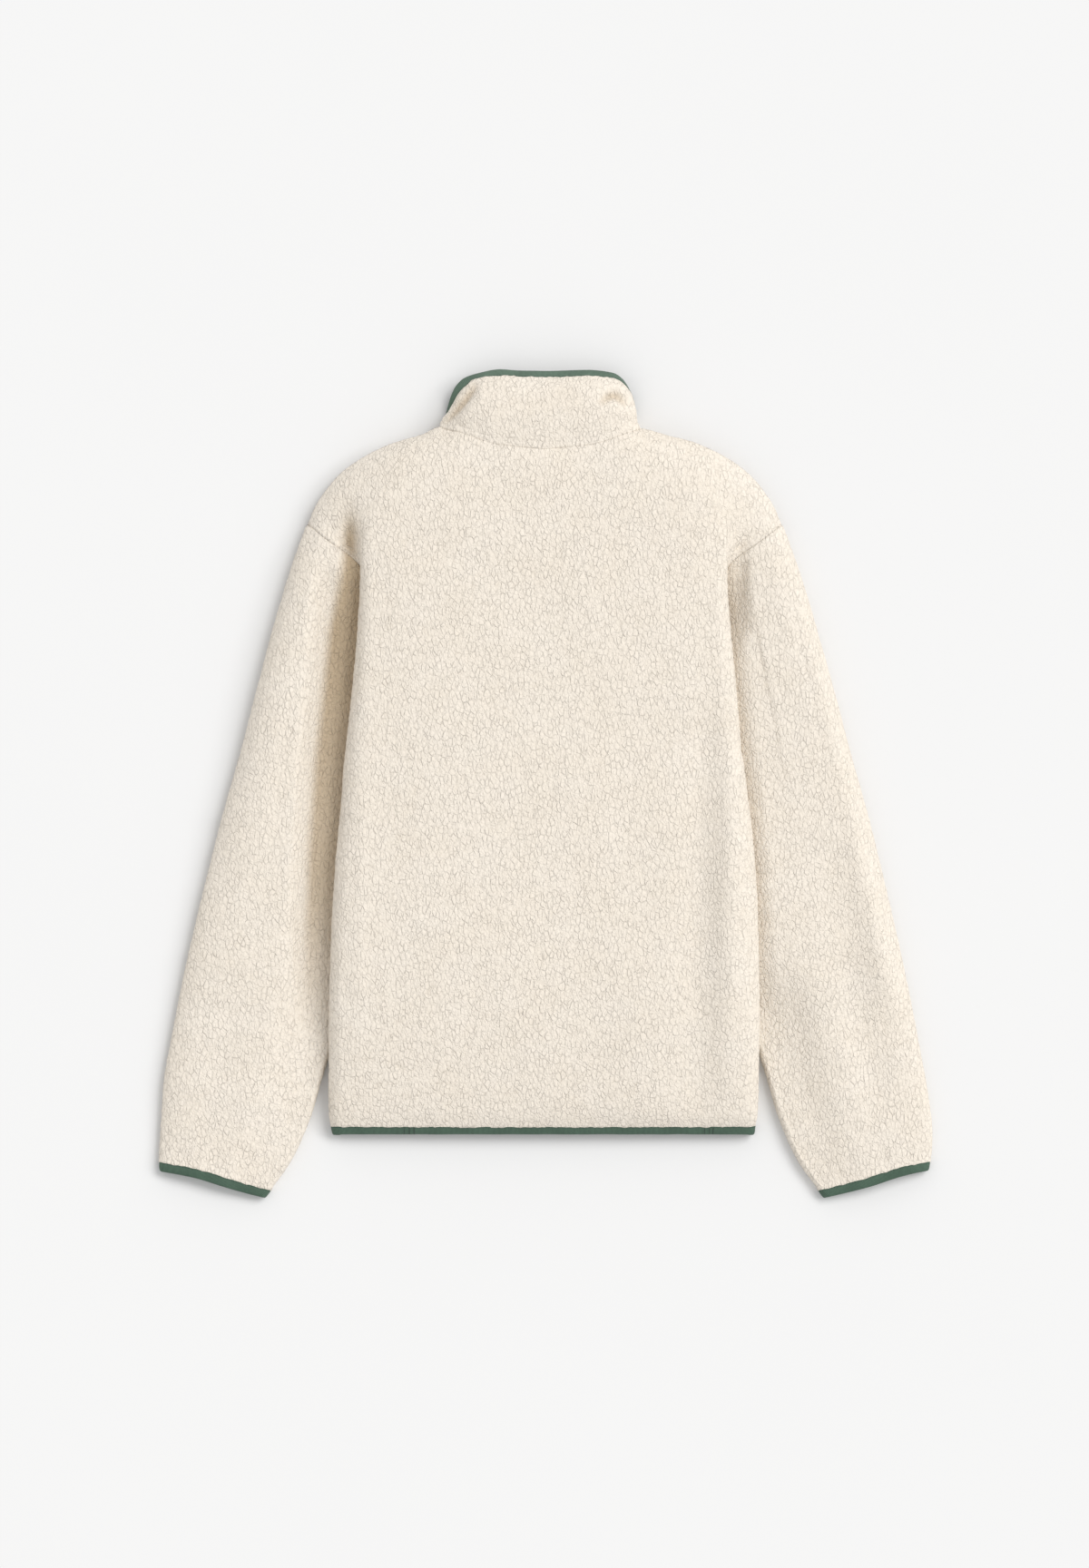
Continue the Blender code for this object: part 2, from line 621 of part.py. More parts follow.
def build():
    clear_scene()
    fleece = {n: material("mat_" + n, FLEECE, 0.95) for n in
              ("back", "front_left", "front_right", "sleeve_left", "sleeve_right", "collar")}
    bind = {n: material("mat_" + n, BINDING, 0.7) for n in
            ("hem_binding", "cuff_binding_left", "cuff_binding_right", "collar_binding")}
    grids = surfaces()
    normals = surface_normals(grids)

    frames = {name: edge_frame(grids[name], normals[name]) for name in grids}
    # one shared direction where two pieces meet on a bound edge
    for side, front in ((-1, "front_left"), (1, "front_right")):
        col = 0 if side < 0 else -1
        shared = unit(frames["back"][1][col] + frames[front][1][0])
        frames["back"][1][col] = shared
        frames[front][1][0] = shared
    for name in ("sleeve_left", "sleeve_right"):
        shared = unit(frames[name][1][0] + frames[name][1][-1])
        frames[name][1][0] = shared
        frames[name][1][-1] = shared

    sides = {"back": ("first_row", "first_col", "last_col"),
             "front_left": ("first_row", "first_col"),
             "front_right": ("first_row", "first_col"),
             "sleeve_left": ("first_row", "first_col", "last_col"),
             "sleeve_right": ("first_row", "first_col", "last_col"),
             "collar": ("first_row",)}
    corners = set()
    for name in ("sleeve_left", "sleeve_right"):
        corners.add(key(grids[name][0, 0]))
        corners.add(key(grids[name][0, 1]))
        corners.add(key(grids[name][0, sum(ARM_BACK)]))
    for col in (6, 18):
        corners.add(key(grids["back"][0, col]))
    for name, grid in grids.items():
        p, t, n = frames[name]
        full = np.full(grid.shape[:2], WALL / 2)
        g = np.concatenate([grid, (p + t * 0.4 * MM)[None],
                            (p + t * (0.4 * MM + BIND_COVER))[None]])
        m = np.concatenate([normals[name], n[None], n[None]])
        h = np.concatenate([full, np.full((2, grid.shape[1]), PRESSED / 2)])
        relief = 2.4 * CORNER_RELIEF if name.startswith("sleeve") else CORNER_RELIEF
        wall_solid(name, pull_in(g, sides[name], corners, relief), m, h, fleece[name])

    def flip(frame):
        return tuple(a[::-1] for a in frame)

    hem = merge_frames(flip(frames["front_left"]), frames["back"], frames["front_right"])
    binding_solid("hem_binding", *hem, bind["hem_binding"], closed=False)
    binding_solid("collar_binding", *frames["collar"], bind["collar_binding"], closed=False)
    for name, sleeve in (("cuff_binding_left", "sleeve_left"), ("cuff_binding_right", "sleeve_right")):
        p, t, n = frames[sleeve]
        binding_solid(name, p[:-1], t[:-1], n[:-1], bind[name], closed=True)

    # ------------------------------------------------------------------- zip
    tape_mat = {n: material("mat_" + n, TAPE, 0.75) for n in ("zip_tape_left", "zip_tape_right")}
    chain_mat = material("mat_zip_chain", TAPE, 0.5)
    slider_mat = material("mat_zip_slider", METAL, 0.35, 1.0)
    tab_mat = material("mat_zip_pull", METAL, 0.35, 1.0)
    y_top = (SHEET_Y - COLLAR[7][3][1]) * UNIT - 1.0 * MM
    y_low = (SHEET_Y - SECTIONS[-1][0]) * UNIT + 1.0 * MM
    z_tape = WALL + 0.4 * MM
    for side, name in ((-1, "zip_tape_left"), (1, "zip_tape_right")):
        x0, x1 = side * 0.35 * MM, side * (0.35 * MM + ZIP_TAPE_W)
        steps = 24
        line = [y_low + (y_top - y_low) * i / steps for i in range(steps + 1)]
        outline = [(x0, y) for y in line] + [(x1, y) for y in reversed(line)]
        prism(name, outline, z_tape, z_tape + ZIP_TAPE_T, tape_mat[name])
    slider_y0 = y_top - 3.0 * MM - SLIDER_L
    chain_z1 = z_tape - 0.3 * MM
    chain_z0 = chain_z1 - ZIP_CHAIN_T
    w = ZIP_CHAIN_W / 2
    prism("zip_chain", [(-w, y_low), (w, y_low), (w, slider_y0 - 0.3 * MM), (-w, slider_y0 - 0.3 * MM)],
          chain_z0, chain_z1, chain_mat)
    # slider: a wedge shaped body below the tapes, with two lugs that hold the tab
    s = SLIDER_W / 2
    y0, y1 = slider_y0, slider_y0 + SLIDER_L
    body_z0 = 1.75 * MM
    pin_y = y1 - 2.6 * MM
    pin_z = 0.85 * MM
    slider = prism("zip_slider", [
        (-0.72 * s, y0), (0.72 * s, y0), (0.86 * s, y0 + 3 * MM), (s, y1 - 3 * MM),
        (0.9 * s, y1 - 1 * MM), (0.45 * s, y1), (-0.45 * s, y1), (-0.9 * s, y1 - 1 * MM),
        (-s, y1 - 3 * MM), (-0.86 * s, y0 + 3 * MM)], body_z0, chain_z1, slider_mat, smooth=40)
    for side in (-1, 1):
        a, b = side * LUG_IN, side * LUG_OUT
        lug = prism("lug_left" if side < 0 else "lug_right",
                    [(a, pin_y - 1.3 * MM), (b, pin_y - 1.3 * MM), (b, pin_y + 1.3 * MM), (a, pin_y + 1.3 * MM)],
                    0.3 * MM, body_z0 + 0.8 * MM, slider_mat)
        lug.hide_render = True
        lug.display_type = "WIRE"
        join = slider.modifiers.new("lug", "BOOLEAN")
        join.operation = "UNION"
        join.solver = "EXACT"
        join.object = lug
    # pull tab: hinged between the lugs, lying along the teeth towards the hem
    t = TAB_W / 2
    e = 0.8 * t
    rel = [(-e, 0.5 * MM), (-e, -6.0 * MM), (-t, -8.0 * MM), (-t, -TAB_L + 1.6 * MM),
           (-0.55 * t, -TAB_L), (0.55 * t, -TAB_L), (t, -TAB_L + 1.6 * MM), (t, -8.0 * MM),
           (e, -6.0 * MM), (e, 0.5 * MM)]
    ob = prism("zip_pull", rel, -TAB_T / 2, TAB_T / 2, tab_mat, smooth=40)
    ob.location = Vector((0.0, pin_y, pin_z))


build()
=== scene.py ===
"""Looks of the pile fleece jacket: every panel, binding and zip part as a fine mesh.

The panels are thin shells on the same middle surfaces as the solids, worked out
from the same tables at a finer step, with creases placed one by one and a pile of
small tufts on top.
"""
import math

import bmesh
import bpy
import numpy as np
from mathutils import Matrix, Vector


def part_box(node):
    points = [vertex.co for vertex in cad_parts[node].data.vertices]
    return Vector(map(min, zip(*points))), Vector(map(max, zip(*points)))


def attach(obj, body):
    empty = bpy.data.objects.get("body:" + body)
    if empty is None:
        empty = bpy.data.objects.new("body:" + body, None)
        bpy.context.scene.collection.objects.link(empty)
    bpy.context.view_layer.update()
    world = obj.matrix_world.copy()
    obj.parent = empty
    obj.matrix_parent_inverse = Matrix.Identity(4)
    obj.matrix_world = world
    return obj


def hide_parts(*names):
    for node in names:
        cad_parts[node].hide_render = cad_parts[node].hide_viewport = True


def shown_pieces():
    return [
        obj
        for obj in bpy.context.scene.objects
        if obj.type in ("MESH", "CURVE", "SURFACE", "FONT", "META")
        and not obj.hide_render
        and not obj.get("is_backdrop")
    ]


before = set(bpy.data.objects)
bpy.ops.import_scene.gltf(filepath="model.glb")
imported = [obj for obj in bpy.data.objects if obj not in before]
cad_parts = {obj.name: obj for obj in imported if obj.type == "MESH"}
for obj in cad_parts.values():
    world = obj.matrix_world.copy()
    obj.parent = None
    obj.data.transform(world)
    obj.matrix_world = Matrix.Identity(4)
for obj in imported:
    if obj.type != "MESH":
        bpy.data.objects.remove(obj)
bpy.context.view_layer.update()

# ---------------------------------------------------------------- dimensions
UNIT = 0.000874            # metres for one drafting unit
SHEET_Y = 863.68           # drafting y of the origin
MM = 0.001

WALL = 4.0 * MM            # fleece, pile and knitted ground together
PRESSED = 1.6 * MM         # fleece pressed flat inside a binding
SEAM_GAP = 0.3 * MM        # between two pieces that are sewn together
BIND_COVER = 7.0 * MM      # fleece covered by the binding
BIND_WALL = 0.85 * MM      # stretch binding
BIND_CLEAR = 0.3 * MM      # between the fleece and the binding
FLAT_Z = 2.0               # middle of the cloth that rests on the surface
HALF = WALL / 2 / UNIT     # from the outline of a piece in to its middle surface
CORNER_RELIEF = 1.1 * MM   # where three or four seams meet in one place

ZIP_TAPE_W = 11.0 * MM
ZIP_TAPE_T = 0.9 * MM
ZIP_CHAIN_W = 5.0 * MM
ZIP_CHAIN_T = 1.4 * MM
SLIDER_W = 7.6 * MM
SLIDER_L = 11.0 * MM
TAB_L = 22.0 * MM
TAB_W = 4.6 * MM
TAB_T = 1.2 * MM
LUG_IN = 2.25 * MM         # lugs beside the end of the tab
LUG_OUT = 3.35 * MM

# ------------------------------------------------- back: shoulder to fold line
# shoulder seam and back neck seam, from the sleeve head to the centre back
SHOULDER = (  # m, y, z
    (260, 579.5, 13.0),
    (253, 562.5, 13.5),
    (240.2, 542.5, 14.0),
    (221.3, 521.6, 15.0),
    (191.8, 502, 16.5),
    (155.2, 486, 19.0),
    (111.5, 472, 22.0),
    (88, 480, 34.0),
    (50, 492, 38.5),
    (0, 497, 40.0),
)
# the first row of the back below the yoke, where the side fold begins
FOLD_START = (  # m, y, z
    (204, 622, 23.5),
    (203.5, 617, 26.0),
    (203.5, 612, 29.0),
    (202.5, 606, 32.5),
    (199, 600, 36.5),
    (189, 594, 40.8),
    (150, 590, 44.0),
    (100, 588, 45.0),
    (50, 588, 45.3),
    (0, 588, 45.5),
)
# rows between the two: how far down each row lies and how much it has risen
YOKE_ROWS = (  # way, rise, armhole m, armhole y, armhole z
    (0.14, 0.50, 251.5, 586, 21.0),
    (0.36, 0.80, 243, 593, 26.0),
    (0.68, 0.96, 225, 606, 27.5),
)

# ------------------------------------------------------- back: sections below
# seam is the armhole down to y 830 and the side seam from there on; the fold
# is the widest place of the rounded side; under is the cloth that has turned
# below it
SECTIONS = (  # y, seam_m, seam_z, under_z, fold_left, fold_right, fold_z, roll_z, top_z
    (650, 190, 16.8, 20.5, 203.0, 201.0, 31.0, 41.0, 45.0),
    (708, 170, 12.3, 16.6, 206.5, 203.5, 29.0, 40.2, 45.5),
    (765, 150, 11.8, 15.4, 212.0, 207.0, 28.0, 39.8, 46.0),
    (812, 131, 11.2, 15.0, 217.0, 211.5, 27.3, 39.2, 46.0),
    (830, 125, 7.6, 15.0, 219.0, 213.5, 27.0, 39.0, 46.0),
    (848, 119, 7.8, 15.0, 221.0, 215.5, 27.0, 39.0, 46.0),
    (885, 122, 8.0, 14.9, 223.5, 219.5, 27.0, 39.0, 46.0),
    (950, 149, 8.0, 14.8, 229.5, 226.0, 27.0, 38.8, 46.0),
    (1010, 171, 8.0, 14.8, 233.5, 230.5, 27.0, 38.5, 45.5),
    (1075, 193, 7.8, 14.7, 236.0, 233.5, 26.5, 37.5, 44.0),
    (1130, 209, 7.4, 14.4, 237.0, 234.5, 25.0, 35.0, 41.0),
    (1170, 215, 6.2, 0.0, 237.0, 234.0, 22.0, 31.0, 36.5),
    (1205, 220, 5.0, 0.0, 237.5, 234.0, 18.5, 26.5, 31.5),
    (1227, 223, 4.2, 0.0, 237.0, 233.5, 15.5, 22.5, 26.5),
    (1240.6, 224.5, 3.8, 0.0, 235.0, 232.0, 12.0, 16.8, 19.8),
)
TUCK_END = 1150            # below this y no sleeve lies under the body
HEM_STEP = 2.6             # the front hem lies this far short of the back hem
MIDDLE = (150.0, 100.0, 50.0, 0.0)      # m of the four inner columns

# ------------------------------------------------------------ front, underside
FRONT_NECK = (  # m, y, z from the shoulder point to the zip
    (107, 483, 9.0),
    (88, 512, 3.0),
    (45, 548, 2.0),
    (5, 562, 2.0),
)
FRONT_ARMHOLE = (  # m, y, z
    (254.5, 589, 6.5),
    (249, 598, 3.0),
    (241, 612, 2.0),
    (230, 634, 2.0),
    (214, 668, 2.0),
    (190, 720, 2.0),
    (162, 770, 2.0),
    (137, 811, 2.3),
)
FRONT_SPREAD = (0.0, 0.10, 0.21, 0.32, 0.43, 0.54, 0.65, 0.75, 0.84, 0.92, 1.0)
FRONT_YOKE = (  # way, fall
    (0.10, 0.62),
    (0.27, 0.97),
    (0.50, 1.0),
    (0.76, 1.0),
)
ZIP_EDGE = 5.0                          # m of the front edges

# ---------------------------------------------------------------------- sleeve
STATIONS = (  # outer_m, outer_y, inner_m, inner_y, valley, crown_z, outer_z, inner_z, tongue_z
    (276, 618, 132, 847, 0.54, 31.0, 13.0, 5.6, 9.4),
    (290, 660, 139, 864, 0.50, 32.0, 13.5, 5.6, 9.3),
    (314, 740, 151, 903, 0.44, 31.5, 13.5, 5.6, 9.2),
    (336, 820, 166, 950, 0.37, 30.5, 13.0, 5.6, 9.2),
    (357.5, 900, 186, 1010, 0.28, 29.0, 12.5, 5.6, 9.2),
    (376, 980, 207, 1075, 0.19, 27.0, 12.0, 5.8, 9.4),
    (393, 1055, 226, 1130, 0.12, 25.0, 11.0, 6.0, 9.8),
    (408, 1128, 241, 1180, 0.08, 23.0, 10.5, 7.0, 11.0),
    (420.5, 1196, 256, 1230, 0.06, 20.5, 9.5, 7.6, 11.5),
    (427, 1246, 276, 1276, 0.05, 17.5, 8.5, 7.4, 11.0),
    (426.5, 1282, 301, 1312, 0.05, 15.0, 7.6, 7.0, 10.0),
)
TOP_SPREAD = (0.0, 0.0, 0.0, 0.0, 0.0, 0.17, 0.40, 0.68, 0.90, 1.0)   # past the valley
UNDER_SPREAD = (1.0, 0.975, 0.91, 0.79, 0.65, 0.50, 0.35, 0.20, 0.035, 0.0)

# ---------------------------------------------------------------------- collar
# columns run from the centre back round the side to the front edge; each has
# four places from the neck seam up to where the binding begins
COLLAR = (  # (m, y, z) at the seam, one third, two thirds, top
    ((0, 497, 40.0), (0, 467, 41.5), (0, 437, 37.5), (0, 416.5, 24.5)),
    ((50, 492, 38.5), (49, 463, 40.5), (48, 435, 36.5), (47, 415.8, 24.0)),
    ((88, 480, 34.0), (84.5, 457, 34.5), (81, 436, 31.0), (77, 420.5, 21.5)),
    ((111.5, 472, 22.0), (106.5, 461, 21.0), (103, 451, 19.0), (99.5, 440.5, 15.0)),
    ((107, 483, 9.0), (106.5, 476, 8.2), (105.5, 468, 7.6), (104, 459, 7.2)),
    ((88, 512, 3.0), (87, 500, 2.2), (85, 489, 2.0), (81, 478, 2.0)),
    ((45, 548, 2.0), (45, 527, 2.0), (44, 507, 2.0), (43, 489, 2.0)),
    ((5, 562, 2.0), (5, 538, 2.0), (5, 514, 2.0), (5, 492, 2.0)),
)
COLLAR_SHIFT_RIGHT = (  # m, y added to the right half above the seam, by column
    (0.0, 0.0), (0.0, 0.0), (1.0, -1.0), (-5.0, -2.0), (-4.0, 0.0), (0.0, 0.0), (0.0, 0.0), (0.0, 0.0),
)

# ------------------------------------------------------------------ mathematics
def pchip(points, steps):
    """Smooth curve through points that never swings past them."""
    pts = np.asarray(points, dtype=float)
    slope = np.diff(pts, axis=0)
    tangent = np.zeros_like(pts)
    a, b = slope[:-1], slope[1:]
    same = (a * b) > 0
    total = np.where(np.abs(a + b) < 1e-12, 1.0, a + b)
    tangent[1:-1] = np.where(same, 2.0 * a * b / total, 0.0)
    tangent[0], tangent[-1] = slope[0], slope[-1]
    out = []
    for i in range(len(pts) - 1):
        n = steps[i]
        for k in range(n):
            t = k / n
            h00 = 2 * t**3 - 3 * t**2 + 1
            h10 = t**3 - 2 * t**2 + t
            h01 = -2 * t**3 + 3 * t**2
            h11 = t**3 - t**2
            out.append(h00 * pts[i] + h10 * tangent[i] + h01 * pts[i + 1] + h11 * tangent[i + 1])
    out.append(pts[-1])
    return np.array(out)


def net_surface(net, row_steps, col_steps):
    """Fill a net of places (rows, columns, 3) in both directions."""
    rows = pchip(np.asarray(net, dtype=float), row_steps)
    return pchip(rows.transpose(1, 0, 2), col_steps).transpose(1, 0, 2)


def to_world(grid, side):
    """Drafting places to metres; side is -1 on the left and +1 on the right."""
    g = np.asarray(grid, dtype=float)
    out = np.empty_like(g)
    out[..., 0] = side * g[..., 0] * UNIT
    out[..., 1] = (SHEET_Y - g[..., 1]) * UNIT
    out[..., 2] = g[..., 2] * MM
    return out


# ------------------------------------------------------------------ cloth nets
def back_half(side):
    """Rows from shoulder to hem, columns from the seam to the centre back."""
    rows = [list(SHOULDER)]
    for way, rise, am, ay, az in YOKE_ROWS:
        row = [(am, ay, az)]
        for top, low in zip(SHOULDER[1:], FOLD_START[1:]):
            row.append((top[0] + (low[0] - top[0]) * way,
                        top[1] + (low[1] - top[1]) * way,
                        top[2] + (low[2] - top[2]) * rise))
        rows.append(row)
    rows.append(list(FOLD_START))
    for y, seam_m, seam_z, under_z, fold_l, fold_r, fold_z, roll_z, top_z in SECTIONS:
        fold = (fold_l if side < 0 else fold_r) - HALF
        if y < TUCK_END:
            low = (fold - 5.5, y, under_z + 4.2)
            first = (seam_m + 0.8, y, min(seam_z + 4.6, under_z - 1.2))
            second = (min(seam_m + 8.0, low[0] - 2.5), y, under_z)
        else:
            low, second, first = [
                (seam_m + (fold - seam_m) * math.sin(math.radians(a)), y,
                 seam_z + (fold_z - seam_z) * (1.0 - math.cos(math.radians(a))))
                for a in (70, 48, 25)]
        rows.append([
            (seam_m, y, seam_z),
            first,
            second,
            low,
            (fold, y, fold_z),
            (fold - 10.5, y, roll_z),
            (MIDDLE[0], y, top_z - 1.0),
            (MIDDLE[1], y, top_z - 0.3),
            (MIDDLE[2], y, top_z),
            (MIDDLE[3], y, top_z),
        ])
    return rows


def front_half(side):
    """Rows from shoulder to hem, columns from the seam to the zip."""
    back = back_half(side)
    top = [back[0][c] for c in range(7)] + list(FRONT_NECK)
    y5 = FRONT_ARMHOLE[4][1]
    chest = [(FRONT_ARMHOLE[4][0] + (ZIP_EDGE - FRONT_ARMHOLE[4][0]) * f, y5, FLAT_Z)
             for f in FRONT_SPREAD]
    rows = [top]
    for (way, fall), arm in zip(FRONT_YOKE, FRONT_ARMHOLE):
        row = [arm]
        for a, b in zip(top[1:], chest[1:]):
            row.append((a[0] + (b[0] - a[0]) * way,
                        a[1] + (b[1] - a[1]) * way,
                        a[2] + (b[2] - a[2]) * fall))
        rows.append(row)
    rows.append(chest)
    for m, y, z in FRONT_ARMHOLE[5:]:
        rows.append([(m + (ZIP_EDGE - m) * f, y, z if f == 0.0 else FLAT_Z)
                     for f in FRONT_SPREAD])
    for row in back[9:]:
        m, y, z = row[0]
        line = [(m, y, z)]
        line.append((m - 5.5, y, FLAT_Z + 0.22 * (z - FLAT_Z)))
        for f in FRONT_SPREAD[2:]:
            line.append((m + (ZIP_EDGE - m) * f, y, FLAT_Z))
        line[2] = (m - 0.5 * (m - line[3][0]), y, FLAT_Z)
        rows.append(line)
    for row, share in ((rows[-1], 1.0), (rows[-2], 0.4)):
        for c, f in enumerate(FRONT_SPREAD):
            m, y, z = row[c]
            row[c] = (m, y - HEM_STEP * share * min(1.0, f / 0.2), z)
    return rows


def sleeve_rings(side):
    """Rings from the armhole to the cuff.

    Columns run from the underarm over the top to the outer edge (0 to 9) and
    back along the underside to the underarm (9 to 18).
    """
    back = back_half(side)
    head = [back[r][0] for r in range(9, -1, -1)]
    under = list(FRONT_ARMHOLE) + [back[9][0]]
    ring0 = head + under
    rings = [ring0]
    body = []
    for om, oy, im, iy, valley, crown, outer_z, inner_z, tongue in STATIONS:
        peak = valley + (1.0 - valley) * 0.46
        span = math.hypot(om - im, oy - iy)
        ux, uy = (om - im) / span, (oy - iy) / span
        om, oy = om - ux * HALF, oy - uy * HALF
        if iy > 1170:
            im, iy = im + ux * HALF, iy + uy * HALF
        edge = 4.2 / span
        ring = []
        for j, s in enumerate(TOP_SPREAD):
            if j == 0:
                f = 0.0
            elif j == 1:
                f = edge
            elif j < 4:
                f = edge + (valley - edge) * (j - 1) / 3.0
            else:
                f = valley + (1.0 - valley) * s
            if j == 0:
                z = inner_z
            elif j == 9:
                z = outer_z
            elif f <= valley:
                z = tongue
            elif f < peak:
                t = (f - valley) / (peak - valley)
                z = tongue + (crown - tongue) * t * t * (3.0 - 2.0 * t)
            else:
                t = (f - peak) / (1.0 - peak)
                z = outer_z + (crown - outer_z) * math.sqrt(max(0.0, 1.0 - t**2.4))
            ring.append((im + (om - im) * f, iy + (oy - iy) * f, z))
        for j, f in enumerate(UNDER_SPREAD[1:], start=1):
            if j == 9:
                z = inner_z
            elif j == 1:
                z = FLAT_Z + 0.22 * (outer_z - FLAT_Z)
            else:
                z = FLAT_Z
            if j == 8:
                f = edge
            ring.append((im + (om - im) * f, iy + (oy - iy) * f, z))
        body.append(ring)
    # a ring close to the armhole, so that the cloth turns round before it runs on
    near = []
    for j, (a, b) in enumerate(zip(ring0, body[0])):
        if j in (1, 2, 3):
            near.append((a[0] + 1.2, a[1] + 1.6, a[2] - 2.6))
        elif j == 4:
            near.append((a[0] + 1.6, a[1] + 3.0, a[2] - 3.0))
        elif j == 5:
            near.append((a[0] + 3.0, a[1] + 8.0, a[2] - 2.6))
        else:
            reach = math.hypot(b[0] - a[0], b[1] - a[1])
            t = min(0.5, 9.0 / max(reach, 1.0))
            near.append((a[0] + (b[0] - a[0]) * t, a[1] + (b[1] - a[1]) * t,
                         a[2] + (b[2] - a[2]) * t))
    rings.append(near)
    rings.extend(body)
    return rings



# ------------------------------------------------------------ fine steps
STEP = 2.1      # mm between places on the visible side
STEP_BACK = 2.36  # mm on the back, the largest piece
STEP_HIDDEN = 4.4                     # mm where the cloth lies out of sight
STEP_COLLAR = 1.5
FACING = {"back": 1, "front_left": -1, "front_right": 1,
          "sleeve_left": -1, "sleeve_right": 1, "collar": -1}


def steps_for(net, size, axis=0):
    """How many fine steps each interval of a net needs for places size mm apart."""
    g = np.asarray(net, dtype=float) * (UNIT / MM, UNIT / MM, 1.0)
    d = np.linalg.norm(np.diff(g, axis=axis), axis=-1).max(axis=1 - axis)
    size = np.broadcast_to(size, d.shape)
    return [max(1, int(math.ceil(a / b))) for a, b in zip(d, size)]


def knots(steps):
    """The net parameter of every fine place."""
    out = []
    for i, n in enumerate(steps):
        out.extend(i + k / n for k in range(n))
    out.append(float(len(steps)))
    return np.array(out)


def resample(curve, where_from, where_to):
    return np.stack([np.interp(where_to, where_from, curve[:, k]) for k in range(3)], axis=1)


def unit_rows(v):
    return v / np.maximum(np.linalg.norm(v, axis=-1, keepdims=True), 1e-12)


def surfaces():
    """Fine middle surface of each fleece piece, and the net parameters of its rows and columns."""
    out, rows_at, cols_at = {}, {}, {}
    backs = {s: back_half(s) for s in (-1, 1)}
    rs = np.maximum(steps_for(backs[-1], STEP_BACK), steps_for(backs[1], STEP_BACK)).tolist()
    size = [STEP_HIDDEN] * 2 + [STEP_BACK * 1.5] + [STEP_BACK] * 6
    cs = np.maximum(steps_for(backs[-1], size, 1), steps_for(backs[1], size, 1)).tolist()
    halves = {s: to_world(net_surface(backs[s], rs, cs), s) for s in (-1, 1)}
    out["back"] = np.concatenate([halves[-1], halves[1][:, -2::-1]], axis=1)
    k = knots(cs)
    rows_at["back"] = knots(rs)
    cols_at["back"] = np.concatenate([k, (18.0 - k[:-1])[::-1]])
    for side, name in ((-1, "front_left"), (1, "front_right")):
        net = front_half(side)
        r2, c2 = steps_for(net, STEP_HIDDEN), steps_for(net, STEP_HIDDEN, 1)
        out[name] = to_world(net_surface(net, r2, c2), side)
        rows_at[name], cols_at[name] = knots(r2), knots(c2)
    for side, name in ((-1, "sleeve_left"), (1, "sleeve_right")):
        net = sleeve_rings(side)
        size = [STEP * 1.05] * 9 + [STEP * 1.2] + [STEP_HIDDEN] * 8
        r3, c3 = steps_for(net[1:], STEP * 1.05), steps_for(net[1:], size, 1)
        r3 = [3] + r3
        out[name] = to_world(net_surface(net, r3, c3), side)
        rows_at[name], cols_at[name] = knots(r3), knots(c3)
    cnets = {}
    for side in (-1, 1):
        cnet = []
        for r in range(4):
            share = (0.0, 0.45, 0.8, 1.0)[r] if side > 0 else 0.0
            cnet.append([(COLLAR[c][r][0] + COLLAR_SHIFT_RIGHT[c][0] * share,
                          COLLAR[c][r][1] + COLLAR_SHIFT_RIGHT[c][1] * share,
                          COLLAR[c][r][2]) for c in range(8)])
        cnets[side] = cnet
    size = [STEP_COLLAR] * 4 + [STEP_COLLAR * 1.4] + [STEP_HIDDEN * 0.7] * 2
    r4 = steps_for(cnets[-1], STEP_COLLAR)
    c4 = np.maximum(steps_for(cnets[-1], size, 1), steps_for(cnets[1], size, 1)).tolist()
    chalf = {s: to_world(net_surface(cnets[s], r4, c4), s) for s in (-1, 1)}
    out["collar"] = np.concatenate([chalf[-1][:, ::-1], chalf[1][:, 1:]], axis=1)
    k = knots(c4)
    rows_at["collar"] = knots(r4)
    cols_at["collar"] = np.concatenate([-k[::-1], k[1:]])
    # a seam is one line for both of its pieces
    ra, ca = rows_at["back"], cols_at["back"]
    for side, sleeve, front in ((-1, "sleeve_left", "front_left"), (1, "sleeve_right", "front_right")):
        edge = out["back"][:, 0 if side < 0 else -1]
        fr = rows_at[front]
        low = fr >= 9.0 - 1e-9
        out[front][low, 0] = resample(edge, ra, fr[low])
        sc = cols_at[sleeve]
        first, last = sc <= 9.0 + 1e-9, sc >= 9.0 - 1e-9
        out[sleeve][0, first] = resample(edge, ra, 9.0 - sc[first])
        out[sleeve][0, last] = resample(out[front][:, 0], fr, sc[last] - 9.0)
        # front shoulder seam follows the back's
        fc = cols_at[front]
        near = fc <= 6.0 + 1e-9
        line = out["back"][0] if side < 0 else out["back"][0, ::-1]
        kk = ca if side < 0 else 18.0 - ca[::-1]
        out[front][0, near] = resample(line, kk, fc[near])
        cc = cols_at["collar"] * side
        mine = (cc > 3.0 - 1e-9) if side > 0 else (cc > 3.0 - 1e-9)
        out["collar"][0, mine] = resample(out[front][0], fc, cc[mine] + 3.0)
    cc = cols_at["collar"]
    mid = np.abs(cc) < 3.0
    out["collar"][0, mid] = resample(out["back"][0], ca, cc[mid] + 9.0)
    return out, rows_at, cols_at


